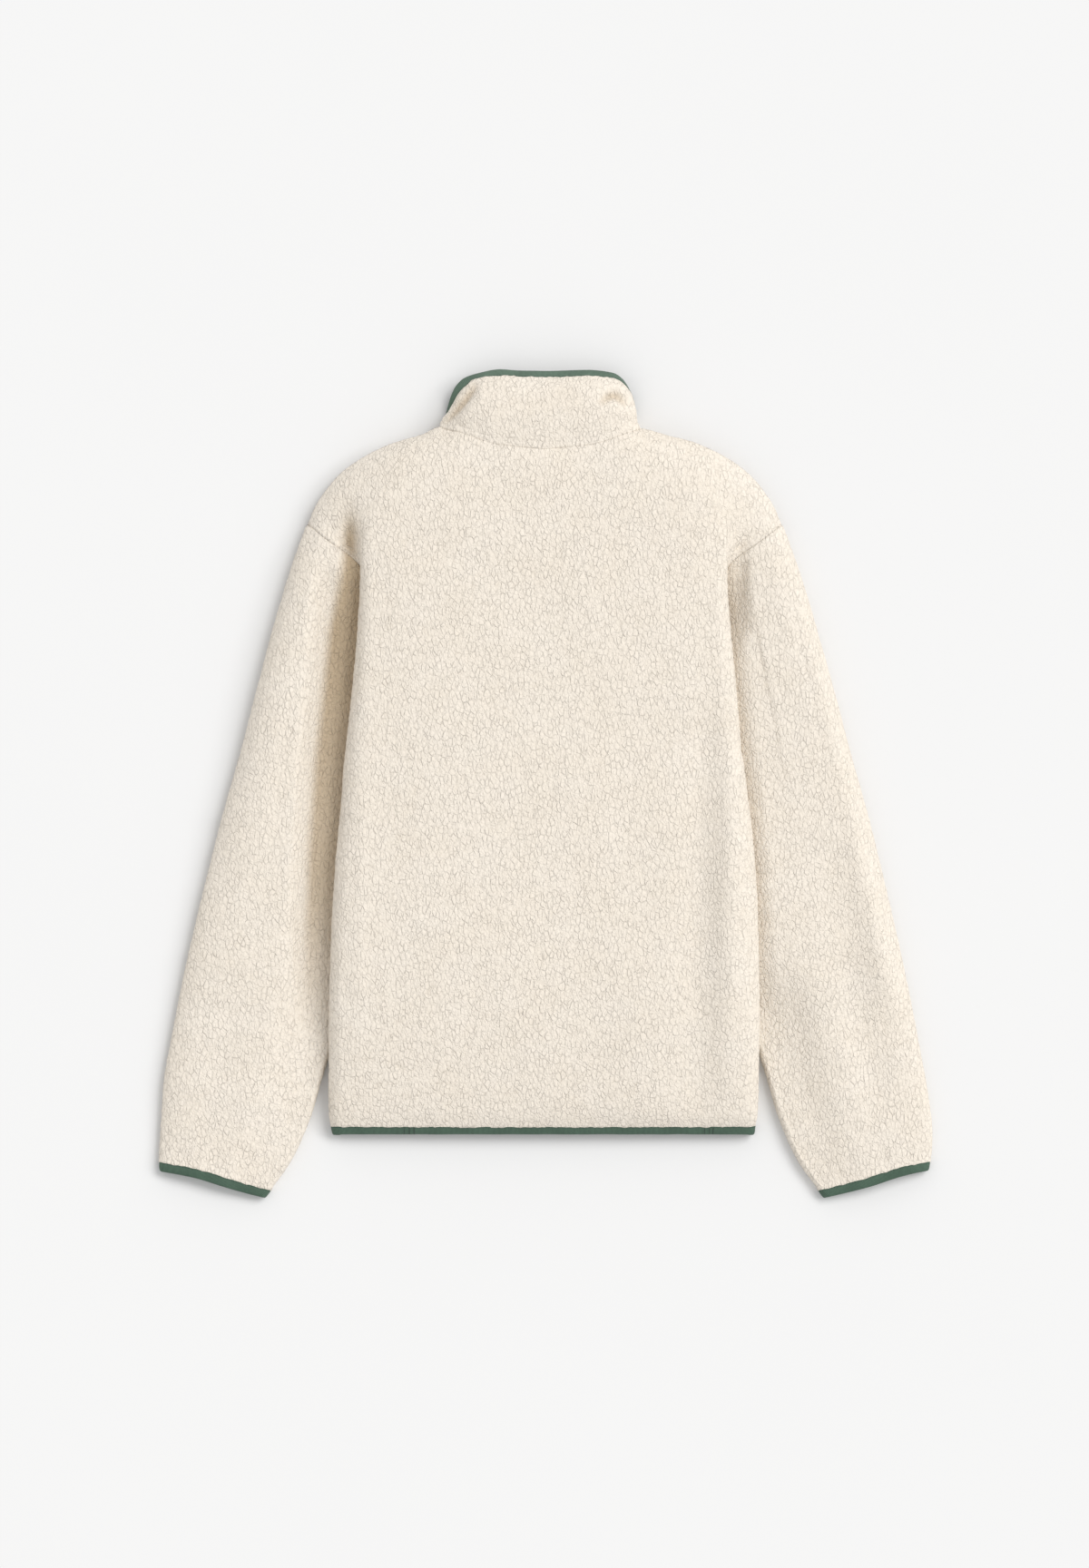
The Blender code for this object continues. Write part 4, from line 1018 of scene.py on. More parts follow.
def simple_material(name, colour, scale, roughness, metallic=0.0, change=0.12, bump_mm=0.05):
    """Moulded or cast surface: fine grain, uneven gloss and slight changes of tone."""
    m, nt, bsdf = nodes_of(name)
    link = nt.links.new
    tc = node(nt, "ShaderNodeTexCoord")
    noise = node(nt, "ShaderNodeTexNoise", in_Scale=scale, in_Detail=4.0)
    link(tc.outputs["Object"], noise.inputs["Vector"])
    mix = ramp(nt, ((0.3, tuple(c * (1 - change) for c in colour)), (0.7, tuple(min(1, c * (1 + change)) for c in colour))))
    link(noise.outputs["Fac"], mix.inputs[0])
    link(mix.outputs[0], bsdf.inputs["Base Color"])
    bsdf.inputs["Metallic"].default_value = metallic
    link(maths(nt, "ADD", roughness - 0.08, maths(nt, "MULTIPLY", noise.outputs["Fac"], 0.16)), bsdf.inputs["Roughness"])
    bump = node(nt, "ShaderNodeBump", in_Strength=0.5, in_Distance=bump_mm * MM)
    link(noise.outputs["Fac"], bump.inputs["Height"])
    link(bump.outputs[0], bsdf.inputs["Normal"])
    return m


PILE_COLOUR = (0.838, 0.768, 0.676)
# colour of the painted shade in the partings between tufts
PILE_PARTING_SHADE = (0.600, 0.495, 0.395)
GREEN = (0.072, 0.126, 0.089)
# painted light: a lighter green than the hem binding's, for the collar binding where it faces the key light
GREEN_COLLAR_PAINTED_LIGHT = (0.112, 0.172, 0.128)
PILE = pile_material("pile", PILE_COLOUR, PILE_PARTING_SHADE)
LINING = pile_material("pile_inside", tuple(c * 0.95 for c in PILE_COLOUR), tuple(c * 1.15 for c in PILE_PARTING_SHADE), 0.7, inside=True)
TAPE = tape_material("binding_tape", GREEN)
TAPE_COLLAR_PAINTED_LIGHT = tape_material("binding_tape_collar_painted_light", GREEN_COLLAR_PAINTED_LIGHT)
ZIP_CLOTH = tape_material("zip_cloth", (0.070, 0.115, 0.086), rib=0.0007, strength=0.5)
TEETH = simple_material("zip_teeth_moulded", (0.060, 0.100, 0.075), 900.0, 0.42)
METAL = simple_material("zip_metal_cast", (0.42, 0.42, 0.40), 700.0, 0.36, metallic=1.0, change=0.10)
THREAD = simple_material("thread", (0.80, 0.73, 0.62), 1500.0, 0.8)
THREAD_GREEN = simple_material("thread_green", (0.035, 0.055, 0.042), 1500.0, 0.75)

# ---------------------------------------------------------------- fleece panels
GRIDS, ROWS_AT, COLS_AT = surfaces()
for name in ("sleeve_left", "sleeve_right"):
    GRIDS[name] = beside_body(name, GRIDS[name], ROWS_AT[name], COLS_AT[name])
GRIDS["collar"] = turned_collar(GRIDS["collar"], ROWS_AT["collar"], COLS_AT["collar"])
GRIDS = {n: nudge(g) for n, g in GRIDS.items()}
NORMALS = {n: grid_normals(n, g) for n, g in GRIDS.items()}
OUTER = {}


def edge_frame(name):
    g, n = GRIDS[name][-1], NORMALS[name][-1]
    t = GRIDS[name][-1] - GRIDS[name][-3]
    t = t - n * np.sum(t * n, axis=1, keepdims=True)
    g, t, n = g.copy(), unit_rows(t), n.copy()
    if name == "collar":
        # at its left turn the binding stands out flat from the fleece
        _, share, way = turn_at(COLS_AT["collar"])
        share = share[:, None]
        t = unit_rows(t * (1.0 - share) + way * share)
        n = unit_rows(n * (1.0 - share) + np.array([-0.35, 0.1, 0.93]) * share)
        n = unit_rows(n - t * np.sum(t * n, axis=1, keepdims=True))
    return g, t, n


ARM_STITCHES = (1.8, 7.6)                # mm from the armhole seam


def bell(d, at, width):
    return np.exp(-((d - at) / width) ** 2)


def dress(name):
    """Outer and inner skins of one panel, with its creases, seams and pile."""
    g = GRIDS[name].copy()
    n = NORMALS[name]
    rows, cols = g.shape[:2]
    flat_p = g.reshape(-1, 3)
    up = np.clip((n[..., 2] - 0.05) / 0.5, 0.0, 1.0)
    down = np.clip((-n[..., 2] - 0.3) / 0.5, 0.0, 1.0)
    tufts = pile_of((g + n * 2 * MM).reshape(-1, 3)).reshape(rows, cols)
    first_row = arc(g, 0)
    last_row = arc(g, 0, back=True)
    first_col = arc(g, 1)
    last_col = arc(g, 1, back=True)
    table = {"back": BACK_CREASES, "sleeve_left": LEFT_SLEEVE_CREASES,
             "sleeve_right": RIGHT_SLEEVE_CREASES, "collar": COLLAR_CREASES}.get(name)
    move = np.zeros((rows, cols))
    if table is not None:
        hgt = crease_height(flat_p, table).reshape(rows, cols)
        if name.startswith("sleeve"):
            hgt = np.where(hgt > 0.0, hgt * beyond_fold(g), hgt)
        move = move + hgt * up
    if name.startswith("front") or name.startswith("sleeve") or name == "collar":
        move = move - crease_height(flat_p, FRONT_CREASES if name.startswith("front") else LEFT_SLEEVE_CREASES
                                    if name == "sleeve_left" else RIGHT_SLEEVE_CREASES
                                    if name == "sleeve_right" else COLLAR_CREASES).reshape(rows, cols) * down * 0.6
    wander = (0.85 * soft_noise(flat_p, 0.085, 11) + 0.45 * soft_noise(flat_p, 0.036, 12)).reshape(rows, cols)
    sway = 1.0 if name in ("back", "sleeve_left", "sleeve_right") else 0.5
    move = move + wander * MM * sway * (0.25 + 0.75 * up)
    # the cloth is drawn in along its sewn edges
    edges = {"back": ("first_row", "first_col", "last_col"), "collar": ("first_row",)}.get(
        name, ("first_row", "first_col") if name.startswith("front") else ("first_row", "first_col", "last_col"))
    seam = np.full((rows, cols), 1.0)
    for e, d in (("first_row", first_row), ("first_col", first_col), ("last_col", last_col)):
        if e in edges:
            seam = np.minimum(seam, d)
    calm = np.clip(seam / (12 * MM), 0.0, 1.0)
    calm = calm * calm * (3 - 2 * calm)
    hem = np.clip(last_row / (16 * MM), 0.0, 1.0)
    move = move * calm * (0.25 + 0.75 * hem)
    groove = -0.8 * MM * bell(seam, 0.0, 1.5 * MM)
    if name in ("back", "collar"):
        groove = groove + 0.45 * MM * bell(first_row, 0.0, 1.5 * MM)
    smooth = np.ones((rows, cols))
    if name == "back":
        arm = np.minimum(first_col, last_col) + 1e-9
        at = ROWS_AT["back"][:, None] + np.zeros((1, cols))
        yoke = np.clip((9.0 - at) / 1.0, 0.0, 1.0)
        groove = groove - (1.2 * bell(arm, ARM_STITCHES[0] * MM, 1.2 * MM) + 1.2 * bell(arm, ARM_STITCHES[1] * MM, 1.3 * MM)) * MM * yoke
        smooth = smooth - 0.5 * bell(arm, 0.5 * (ARM_STITCHES[0] + ARM_STITCHES[1]) * MM, 4.2 * MM) * yoke
    if name == "collar":
        groove = groove - 0.5 * MM * bell(first_row, 6.5 * MM, 1.2 * MM)
        smooth = smooth - 0.55 * bell(first_row, 3.6 * MM, 3.2 * MM)
        px = 600.0 + g[..., 0] / UNIT
        py = SHEET_Y - g[..., 1] / UNIT
        smooth = smooth - 0.45 * np.exp(-(np.hypot(px - 678, py - 442) / 20.0) ** 2) * up
        smooth = smooth - 0.35 * np.exp(-(np.hypot(px - 503, py - 446) / 14.0) ** 2) * up
    hem_ragged = np.clip(last_row / (3.0 * MM), 0.0, 1.0)
    depth = {"collar": 0.5}.get(name, 0.62) * MM
    low = 0.35 * down
    pile_move = (tufts - 0.60) * depth * smooth * (1.0 - low)
    outer_h = WALL / 2 + move + groove + pile_move
    outer = g + n * outer_h[..., None]
    inner = g + n * (move * 0.9 - WALL / 2 + 0.15 * MM)[..., None]
    # edges that are sewn stop just short of their neighbour
    for e in edges:
        s = (0, slice(None)) if e == "first_row" else (slice(None), 0) if e == "first_col" else (slice(None), -1)
        t = (1, slice(None)) if e == "first_row" else (slice(None), 1) if e == "first_col" else (slice(None), -2)
        way = unit_rows(g[t] - g[s]) * 0.04 * MM
        outer[s] += way
        inner[s] += way
    # tufts stand ragged over the binding
    p, t, nn = edge_frame(name)
    side = np.cumsum(np.concatenate([[0.0], np.linalg.norm(np.diff(p, axis=0), axis=1)]))
    line = np.stack([side, side * 0, side * 0], axis=1)
    r1 = 0.5 + 0.5 * soft_noise(line, 0.0034, 21)
    r2 = 0.5 + 0.5 * soft_noise(line, 0.0085, 22)
    ragged = (0.2 + 1.5 * r1 * r1 + 0.4 * r2) * MM
    outer[-1] = p + t * 0.3 * MM + nn * 1.2 * MM
    outer[-2] = p + t * (ragged[:, None] - 1.75 * MM) + nn * ((WALL / 2 + 0.12 * MM) + r1[:, None] * 0.35 * MM)
    outer[-3] = outer[-3] * 0.7 + (p - t * 2.6 * MM + nn * (WALL / 2 + 0.2 * MM)) * 0.3
    inner[-1] = p + t * 1.2 * MM - nn * 0.7 * MM
    outer[..., 2] = np.maximum(outer[..., 2], 0.10 * MM + 0.25 * MM * np.clip(0.6 - tufts, 0.0, 1.0))
    inner[..., 2] = np.maximum(inner[..., 2], 0.6 * MM)
    OUTER[name] = outer
    # painted shade: the pile colour is darker where the tufts are low and along the seams, with random tone from
    # tuft to tuft
    shade = np.clip(tufts, 0.0, 1.0) * smooth + (1.0 - smooth) * 0.62
    shade = shade - 0.12 * bell(seam, 0.0, 1.3 * MM)
    tan = np.zeros((rows, cols))
    # painted shadow: the body's cast shadow on the left sleeve, a darker and warmer tint in the hollow beside the
    # body
    if name == "sleeve_left":
        yy = SHEET_Y - g[..., 1] / UNIT
        end = np.interp(yy, (585, 700, 900, 1165), (21, 41, 42, 32))
        tan = np.interp(yy, (700, 900, 1165), (1.0, 0.82, 0.7)) * soft_step((end - past_fold(g)) / 16.0) * soft_step((yy - 570) / 40) * soft_step((1170 - yy) / 220) * up
    # painted shade: a light darker tint in the narrow hollow beside the body on the right sleeve
    if name == "sleeve_right":
        yy = SHEET_Y - g[..., 1] / UNIT
        tan = 0.22 * np.exp(-((past_fold(g) - 4.0) / 9.0) ** 2) * soft_step((yy - 585) / 30) * soft_step((1170 - yy) / 220) * up
    # painted shadow: a dark tint at the fold just below the left armhole
    if name == "back":
        xx, yy = 600.0 + g[..., 0] / UNIT, SHEET_Y - g[..., 1] / UNIT
        tan = 0.95 * np.exp(-((xx - 388) / 9) ** 2 - ((yy - 596) / 25) ** 2) * up
    # painted shade in the collar's creases, deeper where the crease is deeper
    if name == "collar":
        tan = 0.62 * np.clip(-crease_height(flat_p, COLLAR_CREASES).reshape(rows, cols) / (4.4 * MM), 0.0, 1.0) ** 1.3 * up
    ob = shell(name + "_pile", outer, inner, 4, [PILE, LINING], values=np.clip(shade, 0, 1), flip=FACING[name] > 0, tan=tan)
    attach(ob, "jacket")
    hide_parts(name)
    return ob


for panel in ("back", "front_left", "front_right", "sleeve_left", "sleeve_right", "collar"):
    dress(panel)

# ---------------------------------------------------------------- bindings
IN = PRESSED / 2 + BIND_CLEAR
OUT = IN + BIND_WALL
BOTTOM = 0.4 * MM + BIND_COVER + BIND_CLEAR
TAPE_PROFILE = (  # along the cloth from where the binding begins, and out of it, in mm
    (-0.95, 1.55), (-0.90, 2.05), (-0.45, 2.22), (0.05, 2.06), (0.6, 2.20), (2.2, 2.26), (4.2, 2.22), (5.8, 2.12),
    (7.2, 1.86), (8.15, 1.30), (8.6, 0.55), (8.68, -0.10), (8.5, -0.80), (7.9, -1.45), (6.9, -1.85),
    (5.4, -1.95), (3.6, -1.95), (2.5, -1.95), (1.95, -1.90), (1.3, -1.90), (0.75, -1.80), (0.55, -1.15),
    (2.0, -1.00), (5.0, -1.00), (7.4, -0.60), (7.4, 0.60), (5.0, 1.00), (2.0, 1.25), (0.6, 1.50),
)


def even_frames(p, t, n, step, closed):
    """The same edge at even steps."""
    if closed:
        p, t, n = (np.concatenate([a, a[:1]]) for a in (p, t, n))
    s = np.concatenate([[0.0], np.cumsum(np.linalg.norm(np.diff(p, axis=0), axis=1))])
    count = max(8, int(round(s[-1] / step)))
    w = np.linspace(0.0, s[-1], count + 1)
    if closed:
        w = w[:-1]
    out = [np.stack([np.interp(w, s, a[:, k]) for k in range(3)], axis=1) for a in (p, t, n)]
    return out[0], unit_rows(out[1]), unit_rows(out[2]), w


def smooth_line(a, times, closed):
    for _ in range(times):
        if closed:
            a = (np.roll(a, 1, axis=0) + a * 2 + np.roll(a, -1, axis=0)) / 4
        else:
            b = a.copy()
            b[1:-1] = (a[:-2] + a[1:-1] * 2 + a[2:]) / 4
            a = b
    return a


def capsule(a, b, up, wide, tall):
    """One stitch: a short rounded bar from a to b."""
    a, b, up = (np.asarray(v, dtype=float) for v in (a, b, up))
    d = b - a
    length = np.linalg.norm(d)
    d = d / max(length, 1e-9)
    side = np.cross(d, up)
    side = side / max(np.linalg.norm(side), 1e-9)
    up = np.cross(side, d)
    verts, quads = [], []
    for s, k in ((0.0, 0.35), (0.14, 0.85), (0.5, 1.0), (0.86, 0.85), (1.0, 0.35)):
        lift = math.sin(math.pi * s) * 0.12 * MM
        for j in range(6):
            w = math.pi / 3 * j
            verts.append(a + d * length * s + side * wide / 2 * k * math.cos(w) + up * (tall / 2 * k * math.sin(w) + lift))
    for r in range(4):
        for j in range(6):
            quads.append((r * 6 + j, r * 6 + (j + 1) % 6, (r + 1) * 6 + (j + 1) % 6, (r + 1) * 6 + j))
    caps = [tuple(range(5, -1, -1)), tuple(range(24, 30))]
    return verts, quads, caps


def stitches(name, line, up, pitch, length, wide, tall, mat, body="jacket"):
    """A row of stitches along a line of places."""
    s = np.concatenate([[0.0], np.cumsum(np.linalg.norm(np.diff(line, axis=0), axis=1))])
    verts, faces, off = [], [], 0
    w = pitch * 0.5
    while w + length < s[-1]:
        a = [np.interp(w, s, line[:, k]) for k in range(3)]
        b = [np.interp(w + length, s, line[:, k]) for k in range(3)]
        u = [np.interp(w + length / 2, s, up[:, k]) for k in range(3)]
        v, q, c = capsule(a, b, u, wide, tall)
        verts += v
        faces += [tuple(i + off for i in f) for f in q + c]
        off += len(v)
        w += pitch
    if not faces:
        return None
    ob = new_object(name, verts, np.zeros((0, 4), dtype=int), faces, [mat])
    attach(ob, body)
    return ob


def binding(name, p, t, n, closed, mat, step=1.15 * MM):
    """A folded knitted tape round the edge of the fleece, a little puckered."""
    p = smooth_line(p, 2, closed)
    p, t, n, w = even_frames(p, t, n, step, closed)
    t, n = unit_rows(smooth_line(t, 6, closed)), unit_rows(smooth_line(n, 4, closed))
    prof = np.array(TAPE_PROFILE) * MM
    k = len(prof)
    line = np.stack([w, w * 0, w * 0], axis=1)
    puff = 0.11 * MM * soft_noise(line, 0.0032, 31) + 0.16 * MM * soft_noise(line, 0.011, 32)
    drift = 0.22 * MM * soft_noise(line, 0.018, 33)
    around = np.concatenate([[0.0], np.cumsum(np.linalg.norm(np.diff(prof, axis=0), axis=1))])
    a = prof[None, :, 0] + drift[:, None] * (prof[None, :, 0] > 2 * MM)
    fat = (np.abs(prof[None, :, 1]) > 1.5 * MM) & (prof[None, :, 0] > 2.2 * MM)
    b = prof[None, :, 1] + np.sign(prof[None, :, 1]) * puff[:, None] * fat
    verts = p[:, None] + t[:, None] * a[..., None] + n[:, None] * b[..., None]
    verts[..., 2] = np.maximum(verts[..., 2], 0.08 * MM)
    rows = len(p)
    idx = np.arange(rows * k).reshape(rows, k)
    nxt = np.roll(idx, -1, axis=0) if closed else idx[1:]
    cur = idx if closed else idx[:-1]
    quads = np.stack([cur, np.roll(cur, -1, axis=1), np.roll(nxt, -1, axis=1), nxt], axis=-1).reshape(-1, 4)
    caps = []
    if not closed:
        caps = [tuple(int(v) for v in idx[0][::-1]), tuple(int(v) for v in idx[-1])]
    uv = np.stack([np.repeat(w, k), np.tile(around, rows)], axis=1)
    ob = new_object(name + "_tape", verts.reshape(-1, 3), quads, caps, [mat], uv=uv)
    bm = bmesh.new()
    bm.from_mesh(ob.data)
    bmesh.ops.recalc_face_normals(bm, faces=bm.faces)
    bm.to_mesh(ob.data)
    bm.free()
    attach(ob, "jacket")
    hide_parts(name)
    return ob, (p, t, n)


def join_frames(*frames):
    ps, ts, ns = [], [], []
    for p, t, n in frames:
        start = 0
        if ps and np.linalg.norm(ps[-1] - p[0]) < 2e-4:
            ts[-1] = unit_rows(ts[-1] + t[0])
            start = 1
        ps.extend(p[start:])
        ts.extend(t[start:])
        ns.extend(n[start:])
    return np.array(ps), np.array(ts), np.array(ns)


def flip(f):
    return tuple(a[::-1] for a in f)


FRAMES = {name: edge_frame(name) for name in GRIDS}
HEM = join_frames(flip(FRAMES["front_left"]), FRAMES["back"], FRAMES["front_right"])
tapes = {}
tapes["hem_binding"] = binding("hem_binding", *HEM, False, TAPE)
tapes["collar_binding"] = binding("collar_binding", *FRAMES["collar"], False, TAPE_COLLAR_PAINTED_LIGHT)
for cuff, sleeve in (("cuff_binding_left", "sleeve_left"), ("cuff_binding_right", "sleeve_right")):
    p, t, n = FRAMES[sleeve]
    tapes[cuff] = binding(cuff, p[:-1], t[:-1], n[:-1], True, TAPE)

for tape, (ob, (p, t, n)) in tapes.items():
    line = p + t * 0.05 * MM + n * 2.06 * MM
    line[:, 2] = np.maximum(line[:, 2], 0.25 * MM)
    stitches(tape + "_stitches", line, n, 3.0 * MM, 2.2 * MM, 0.55 * MM, 0.34 * MM, THREAD_GREEN)

# bar tacks across the hem binding over each side
bars = []
p, t, n = tapes["hem_binding"][1]
top = n[:, 2] > 0.3
for x0 in (446.0, 451.5, 457.0, 776.0, 781.0, 786.0):
    want = (x0 - 600.0) * UNIT
    i = int(np.argmin(np.where(top, np.abs(p[:, 0] - want), 9.0)))
    a = p[i] - t[i] * 0.6 * MM + n[i] * 2.2 * MM
    b = p[i] + t[i] * 4.4 * MM + n[i] * 2.3 * MM
    c = p[i] + t[i] * 8.3 * MM + n[i] * 1.35 * MM
    bars.append((a, b, n[i]))
    bars.append((b, c, n[i]))
verts, faces, off = [], [], 0
for a, b, u in bars:
    v, q, c = capsule(a, b, u, 0.75 * MM, 0.5 * MM)
    verts += v
    faces += [tuple(i + off for i in f) for f in q + c]
    off += len(v)
tacks = new_object("hem_bar_tacks", verts, np.zeros((0, 4), dtype=int), faces, [THREAD_GREEN])
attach(tacks, "jacket")

# double row of stitches beside each armhole, on the body
top_rows = []
g, n = OUTER["back"], NORMALS["back"]
for side in (-1, 1):
    gg, nn = (g, n) if side < 0 else (g[:, ::-1], n[:, ::-1])
    dist = arc(GRIDS["back"] if side < 0 else GRIDS["back"][:, ::-1], 1)
    for at in ARM_STITCHES:
        pts, ups = [], []
        for r in range(3, gg.shape[0]):
            if ROWS_AT["back"][r] > 5.6:
                break
            c = int(np.argmin(np.abs(dist[r] - at * MM)))
            pts.append(gg[r, c] - nn[r, c] * 0.1 * MM)
            ups.append(nn[r, c])
        pts, ups = smooth_line(np.array(pts), 4, False), np.array(ups)
        ob = stitches("armhole_stitches_%s_%d" % ("left" if side < 0 else "right", int(at)), pts, ups,
                      3.4 * MM, 2.5 * MM, 0.6 * MM, 0.5 * MM, THREAD)

# ---------------------------------------------------------------- zip
def bevelled(name, outline, z0, z1, round_by, mat, at=(0.0, 0.0, 0.0)):
    bm = bmesh.new()
    ring = [bm.verts.new((x, y, z0)) for x, y in outline]
    face = bm.faces.new(ring)
    res = bmesh.ops.extrude_face_region(bm, geom=[face])
    for v in res["geom"]:
        if isinstance(v, bmesh.types.BMVert):
            v.co.z = z1
    bmesh.ops.recalc_face_normals(bm, faces=bm.faces)
    if round_by:
        sharp = [e for e in bm.edges if e.calc_face_angle(0.0) > math.radians(25)]
        bmesh.ops.bevel(bm, geom=sharp, offset=round_by, segments=3, profile=0.6, affect="EDGES")
    mesh = bpy.data.meshes.new(name)
    bm.to_mesh(mesh)
    bm.free()
    mesh.materials.append(mat)
    mesh.shade_smooth()
    mesh.set_sharp_from_angle(angle=math.radians(40))
    ob = bpy.data.objects.new(name, mesh)
    bpy.context.scene.collection.objects.link(ob)
    ob.data.transform(Matrix.Translation(at))
    return ob


def strip(name, x0, x1, y0, y1, z0, z1, mat, node_name):
    """Woven zip tape: a thin band, a little wavy, with a raised cord along the teeth."""
    rows = int((y1 - y0) / (3.0 * MM))
    across = ((0.0, 0.5), (0.04, 1.0), (0.16, 1.25), (0.26, 1.0), (0.5, 0.86), (0.8, 0.86), (0.97, 0.8), (1.0, 0.45),
              (0.97, 0.0), (0.5, 0.0), (0.05, 0.0))
    k = len(across)
    verts, uv = [], []
    for r in range(rows + 1):
        y = y0 + (y1 - y0) * r / rows
        line = np.array([[x0, y, 0.0]])
        lift = 0.07 * MM * float(soft_noise(line, 0.02, 41)[0])
        for f, h in across:
            x = x0 + (x1 - x0) * f
            verts.append((x, y, z0 + (z1 - z0) * min(h, 1.0) * 0.98 + (lift if f > 0.3 else 0.0)))
            uv.append((y, x - x0))
    idx = np.arange((rows + 1) * k).reshape(rows + 1, k)
    quads = np.stack([idx[:-1], np.roll(idx[:-1], -1, axis=1), np.roll(idx[1:], -1, axis=1), idx[1:]], axis=-1).reshape(-1, 4)
    caps = [tuple(int(v) for v in idx[0][::-1]), tuple(int(v) for v in idx[-1])]
    ob = new_object(name, verts, quads, caps, [mat], uv=uv)
    bm = bmesh.new()
    bm.from_mesh(ob.data)
    bmesh.ops.recalc_face_normals(bm, faces=bm.faces)
    bm.to_mesh(ob.data)
    bm.free()
    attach(ob, "jacket")
    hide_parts(node_name)
    return ob


for name in ("zip_tape_left", "zip_tape_right"):
    lo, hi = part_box(name)
    near, far = (hi.x, lo.x) if name.endswith("left") else (lo.x, hi.x)
    strip(name + "_woven", near, far, lo.y, hi.y, lo.z, hi.z, ZIP_CLOTH, name)

# teeth: moulded, one from each side in turn
lo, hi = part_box("zip_chain")
pitch = 1.45 * MM
count = int((hi.y - lo.y) / pitch)
TOOTH = (  # x from the tape's edge towards the middle, half width along the zip, mm
    (2.5, 0.62), (1.5, 0.62), (0.7, 0.34), (-0.1, 0.34), (-0.45, 0.60), (-0.85, 0.50),
)
verts, faces = [], []
for i in range(count):
    s = -1 if i % 2 else 1
    y = lo.y + pitch * (i + 0.5)
    ring = [(s * x * MM, y + h * MM) for x, h in TOOTH] + [(s * x * MM, y - h * MM) for x, h in reversed(TOOTH)]
    off = len(verts)
    k = len(ring)
    mx = sum(v[0] for v in ring) / k
    for z, shrink in ((lo.z + 0.05 * MM, 0.86), (lo.z + 0.28 * MM, 1.0), (hi.z - 0.28 * MM, 1.0), (hi.z - 0.03 * MM, 0.86)):
        for x, yy in ring:
            verts.append((mx + (x - mx) * shrink, y + (yy - y) * shrink, z))
    for lev in range(3):
        for j in range(k):
            a, b = off + lev * k + j, off + lev * k + (j + 1) % k
            faces.append((a, b, b + k, a + k))
    faces.append(tuple(off + j for j in range(k - 1, -1, -1)))
    faces.append(tuple(off + 3 * k + j for j in range(k)))
teeth = new_object("zip_teeth", verts, np.zeros((0, 4), dtype=int), faces, [TEETH], smooth=False)
bm = bmesh.new()
bm.from_mesh(teeth.data)
bmesh.ops.recalc_face_normals(bm, faces=bm.faces)
bm.to_mesh(teeth.data)
bm.free()
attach(teeth, "jacket")
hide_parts("zip_chain")

# slider with its two lugs
lo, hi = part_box("zip_slider")
sx = (hi.x - lo.x) / 2
y0, y1 = lo.y, hi.y
pin_y = y1 - 2.6 * MM
pin_z = 0.85 * MM


def side_curve(widths):
    left = [(-w * sx, y0 + (y1 - y0) * f) for f, w in widths]
    return [(-x, y) for x, y in left] + left[::-1]


SLIDER_SHAPE = ((0.0, 0.66), (0.08, 0.72), (0.27, 0.82), (0.5, 0.93), (0.72, 0.99), (0.86, 0.93), (0.95, 0.72), (1.0, 0.42))
slider = bevelled("zip_slider_cast", side_curve(SLIDER_SHAPE), 1.80 * MM, hi.z - 0.05 * MM, 0.32 * MM, METAL)
extra = []
for s in (-1, 1):
    a, b = sorted((s * 2.28 * MM, s * 3.32 * MM))
    ring = [(a, pin_y - 1.25 * MM), (b, pin_y - 1.25 * MM), (b, pin_y + 1.25 * MM), (a, pin_y + 1.25 * MM)]
    extra.append(bevelled("lug", ring, 0.33 * MM, 2.3 * MM, 0.25 * MM, METAL))
with bpy.context.temp_override(active_object=slider, selected_editable_objects=[slider] + extra):
    bpy.ops.object.join()
slider.data.shade_smooth()
slider.data.set_sharp_from_angle(angle=math.radians(40))
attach(slider, "jacket")
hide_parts("zip_slider")

# pull tab with an oval opening near its free end
lo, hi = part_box("zip_pull")
tw = (hi.x - lo.x) / 2
ty0, ty1 = lo.y, hi.y
TAB_SHAPE = (  # share of the length from the free end, share of the half width
    (0.0, 0.42), (0.02, 0.70), (0.06, 0.93), (0.11, 1.0), (0.60, 1.0), (0.66, 0.97), (0.72, 0.82), (0.78, 0.78), (0.97, 0.78), (1.0, 0.70),
)
outline = [(tw * w, ty0 + (ty1 - ty0) * f) for f, w in TAB_SHAPE]
outline += [(-x, y) for x, y in outline[::-1]]
k = len(outline)
cy = ty0 + (ty1 - ty0) * 0.30
hole = []
for x, y in outline:
    ang = math.atan2((y - cy) / ((ty1 - ty0) * 0.5), x / tw)
    hole.append((math.cos(ang) * tw * 0.42, cy + math.sin(ang) * (ty1 - ty0) * 0.155))
levels = ((lo.z + 0.02 * MM, 0.90, 1.12), (lo.z + 0.28 * MM, 1.0, 1.0), (hi.z - 0.28 * MM, 1.0, 1.0), (hi.z - 0.02 * MM, 0.90, 1.12))
my = (ty0 + ty1) / 2
verts, faces = [], []
for z, so, si in levels:
    for x, y in outline:
        verts.append((x * so, my + (y - my) * (1 - (1 - so) * 0.22), z))
    for x, y in hole:
        verts.append((x * si, cy + (y - cy) * (1 + (si - 1) * 0.5), z))
for lev in range(3):
    a0, b0 = lev * 2 * k, (lev + 1) * 2 * k
    for j in range(k):
        m = (j + 1) % k
        faces.append((a0 + j, a0 + m, b0 + m, b0 + j))
        faces.append((a0 + k + j, b0 + k + j, b0 + k + m, a0 + k + m))
for base in (0, 6 * k):
    for j in range(k):
        m = (j + 1) % k
        faces.append((base + j, base + k + j, base + k + m, base + m))
pull = new_object("zip_pull_tab", verts, np.zeros((0, 4), dtype=int), faces, [METAL])
bm = bmesh.new()
bm.from_mesh(pull.data)
bmesh.ops.recalc_face_normals(bm, faces=bm.faces)
bm.to_mesh(pull.data)
bm.free()
pull.data.set_sharp_from_angle(angle=math.radians(40))
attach(pull, "pull")
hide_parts("zip_pull")


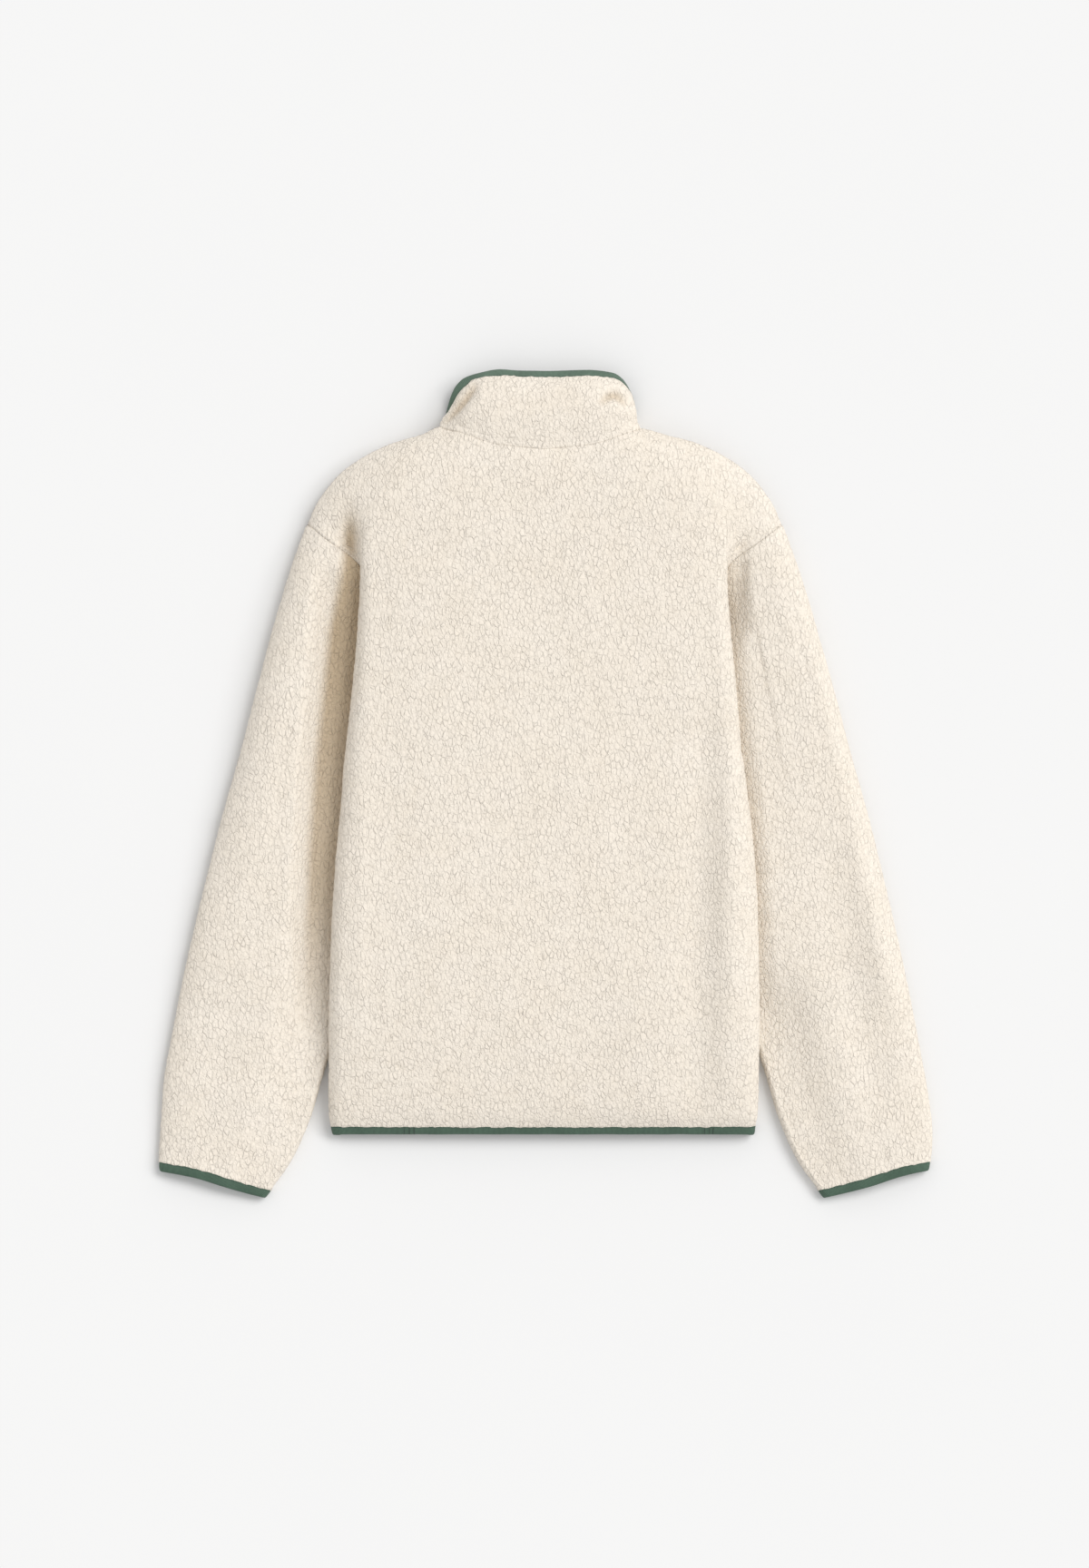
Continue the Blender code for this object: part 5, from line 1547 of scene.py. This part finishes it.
# ---------------------------------------------------------------- stage
bpy.ops.mesh.primitive_plane_add(size=24.0, location=(0.0, 0.0, 0.0))
floor = bpy.context.object
floor.name = "floor"
m, nt, bsdf = nodes_of("floor_paper")
tc = node(nt, "ShaderNodeTexCoord")
noise = node(nt, "ShaderNodeTexNoise", in_Scale=3.0, in_Detail=2.0)
nt.links.new(tc.outputs["Object"], noise.inputs["Vector"])
mix = ramp(nt, ((0.3, (0.798, 0.798, 0.798)), (0.7, (0.802, 0.802, 0.802))))
nt.links.new(noise.outputs["Fac"], mix.inputs[0])
nt.links.new(mix.outputs[0], bsdf.inputs["Base Color"])
bsdf.inputs["Roughness"].default_value = 1.0
bsdf.inputs["Specular IOR Level"].default_value = 0.0
floor.data.materials.append(m)
floor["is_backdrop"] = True

AMBIENT = 0.735
SUNS = (  # name, light on the floor, elevation, azimuth from +X towards +Y, spread
    ("key", 0.985, 51.0, 42.0, 28.0),
    ("side_key", 0.35, 38.0, 12.0, 20.0),
)
world = bpy.data.worlds.new("studio")
bpy.context.scene.world = world
world.use_nodes = True
world.node_tree.nodes["Background"].inputs[0].default_value = (1.0, 1.0, 1.0, 1.0)
world.node_tree.nodes["Background"].inputs[1].default_value = AMBIENT
for name, light, elevation, azimuth, spread in SUNS:
    sun = bpy.data.lights.new(name, "SUN")
    sun.energy = light / math.sin(math.radians(elevation))
    sun.angle = math.radians(spread)
    sun.color = (1.0, 0.995, 0.985)
    lamp = bpy.data.objects.new(name, sun)
    bpy.context.scene.collection.objects.link(lamp)
    e, a = math.radians(elevation), math.radians(azimuth)
    towards = Vector((math.cos(a) * math.cos(e), math.sin(a) * math.cos(e), math.sin(e)))
    lamp.rotation_mode = "QUATERNION"
    lamp.rotation_quaternion = towards.to_track_quat("Z", "Y")

FRAME_H = 1728 * UNIT
DISTANCE = 8.0
cam_data = bpy.data.cameras.new("camera")
cam_data.sensor_width = 36.0
cam_data.lens = 36.0 * DISTANCE / FRAME_H
cam_data.clip_end = 50.0
cam = bpy.data.objects.new("camera", cam_data)
bpy.context.scene.collection.objects.link(cam)
cam.location = (0.0, (SHEET_Y - 864.0) * UNIT, DISTANCE)
cam.rotation_euler = (0.0, 0.0, 0.0)
bpy.context.scene.camera = cam
bpy.context.scene.view_settings.view_transform = "Standard"
bpy.context.scene.view_settings.look = "None"
bpy.context.scene.view_settings.exposure = 0.0
bpy.context.scene.view_settings.gamma = 1.0

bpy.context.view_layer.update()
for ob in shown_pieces():
    if ob.data.polygons:
        print("piece", ob.name, sum(len(q.vertices) - 2 for q in ob.data.polygons))
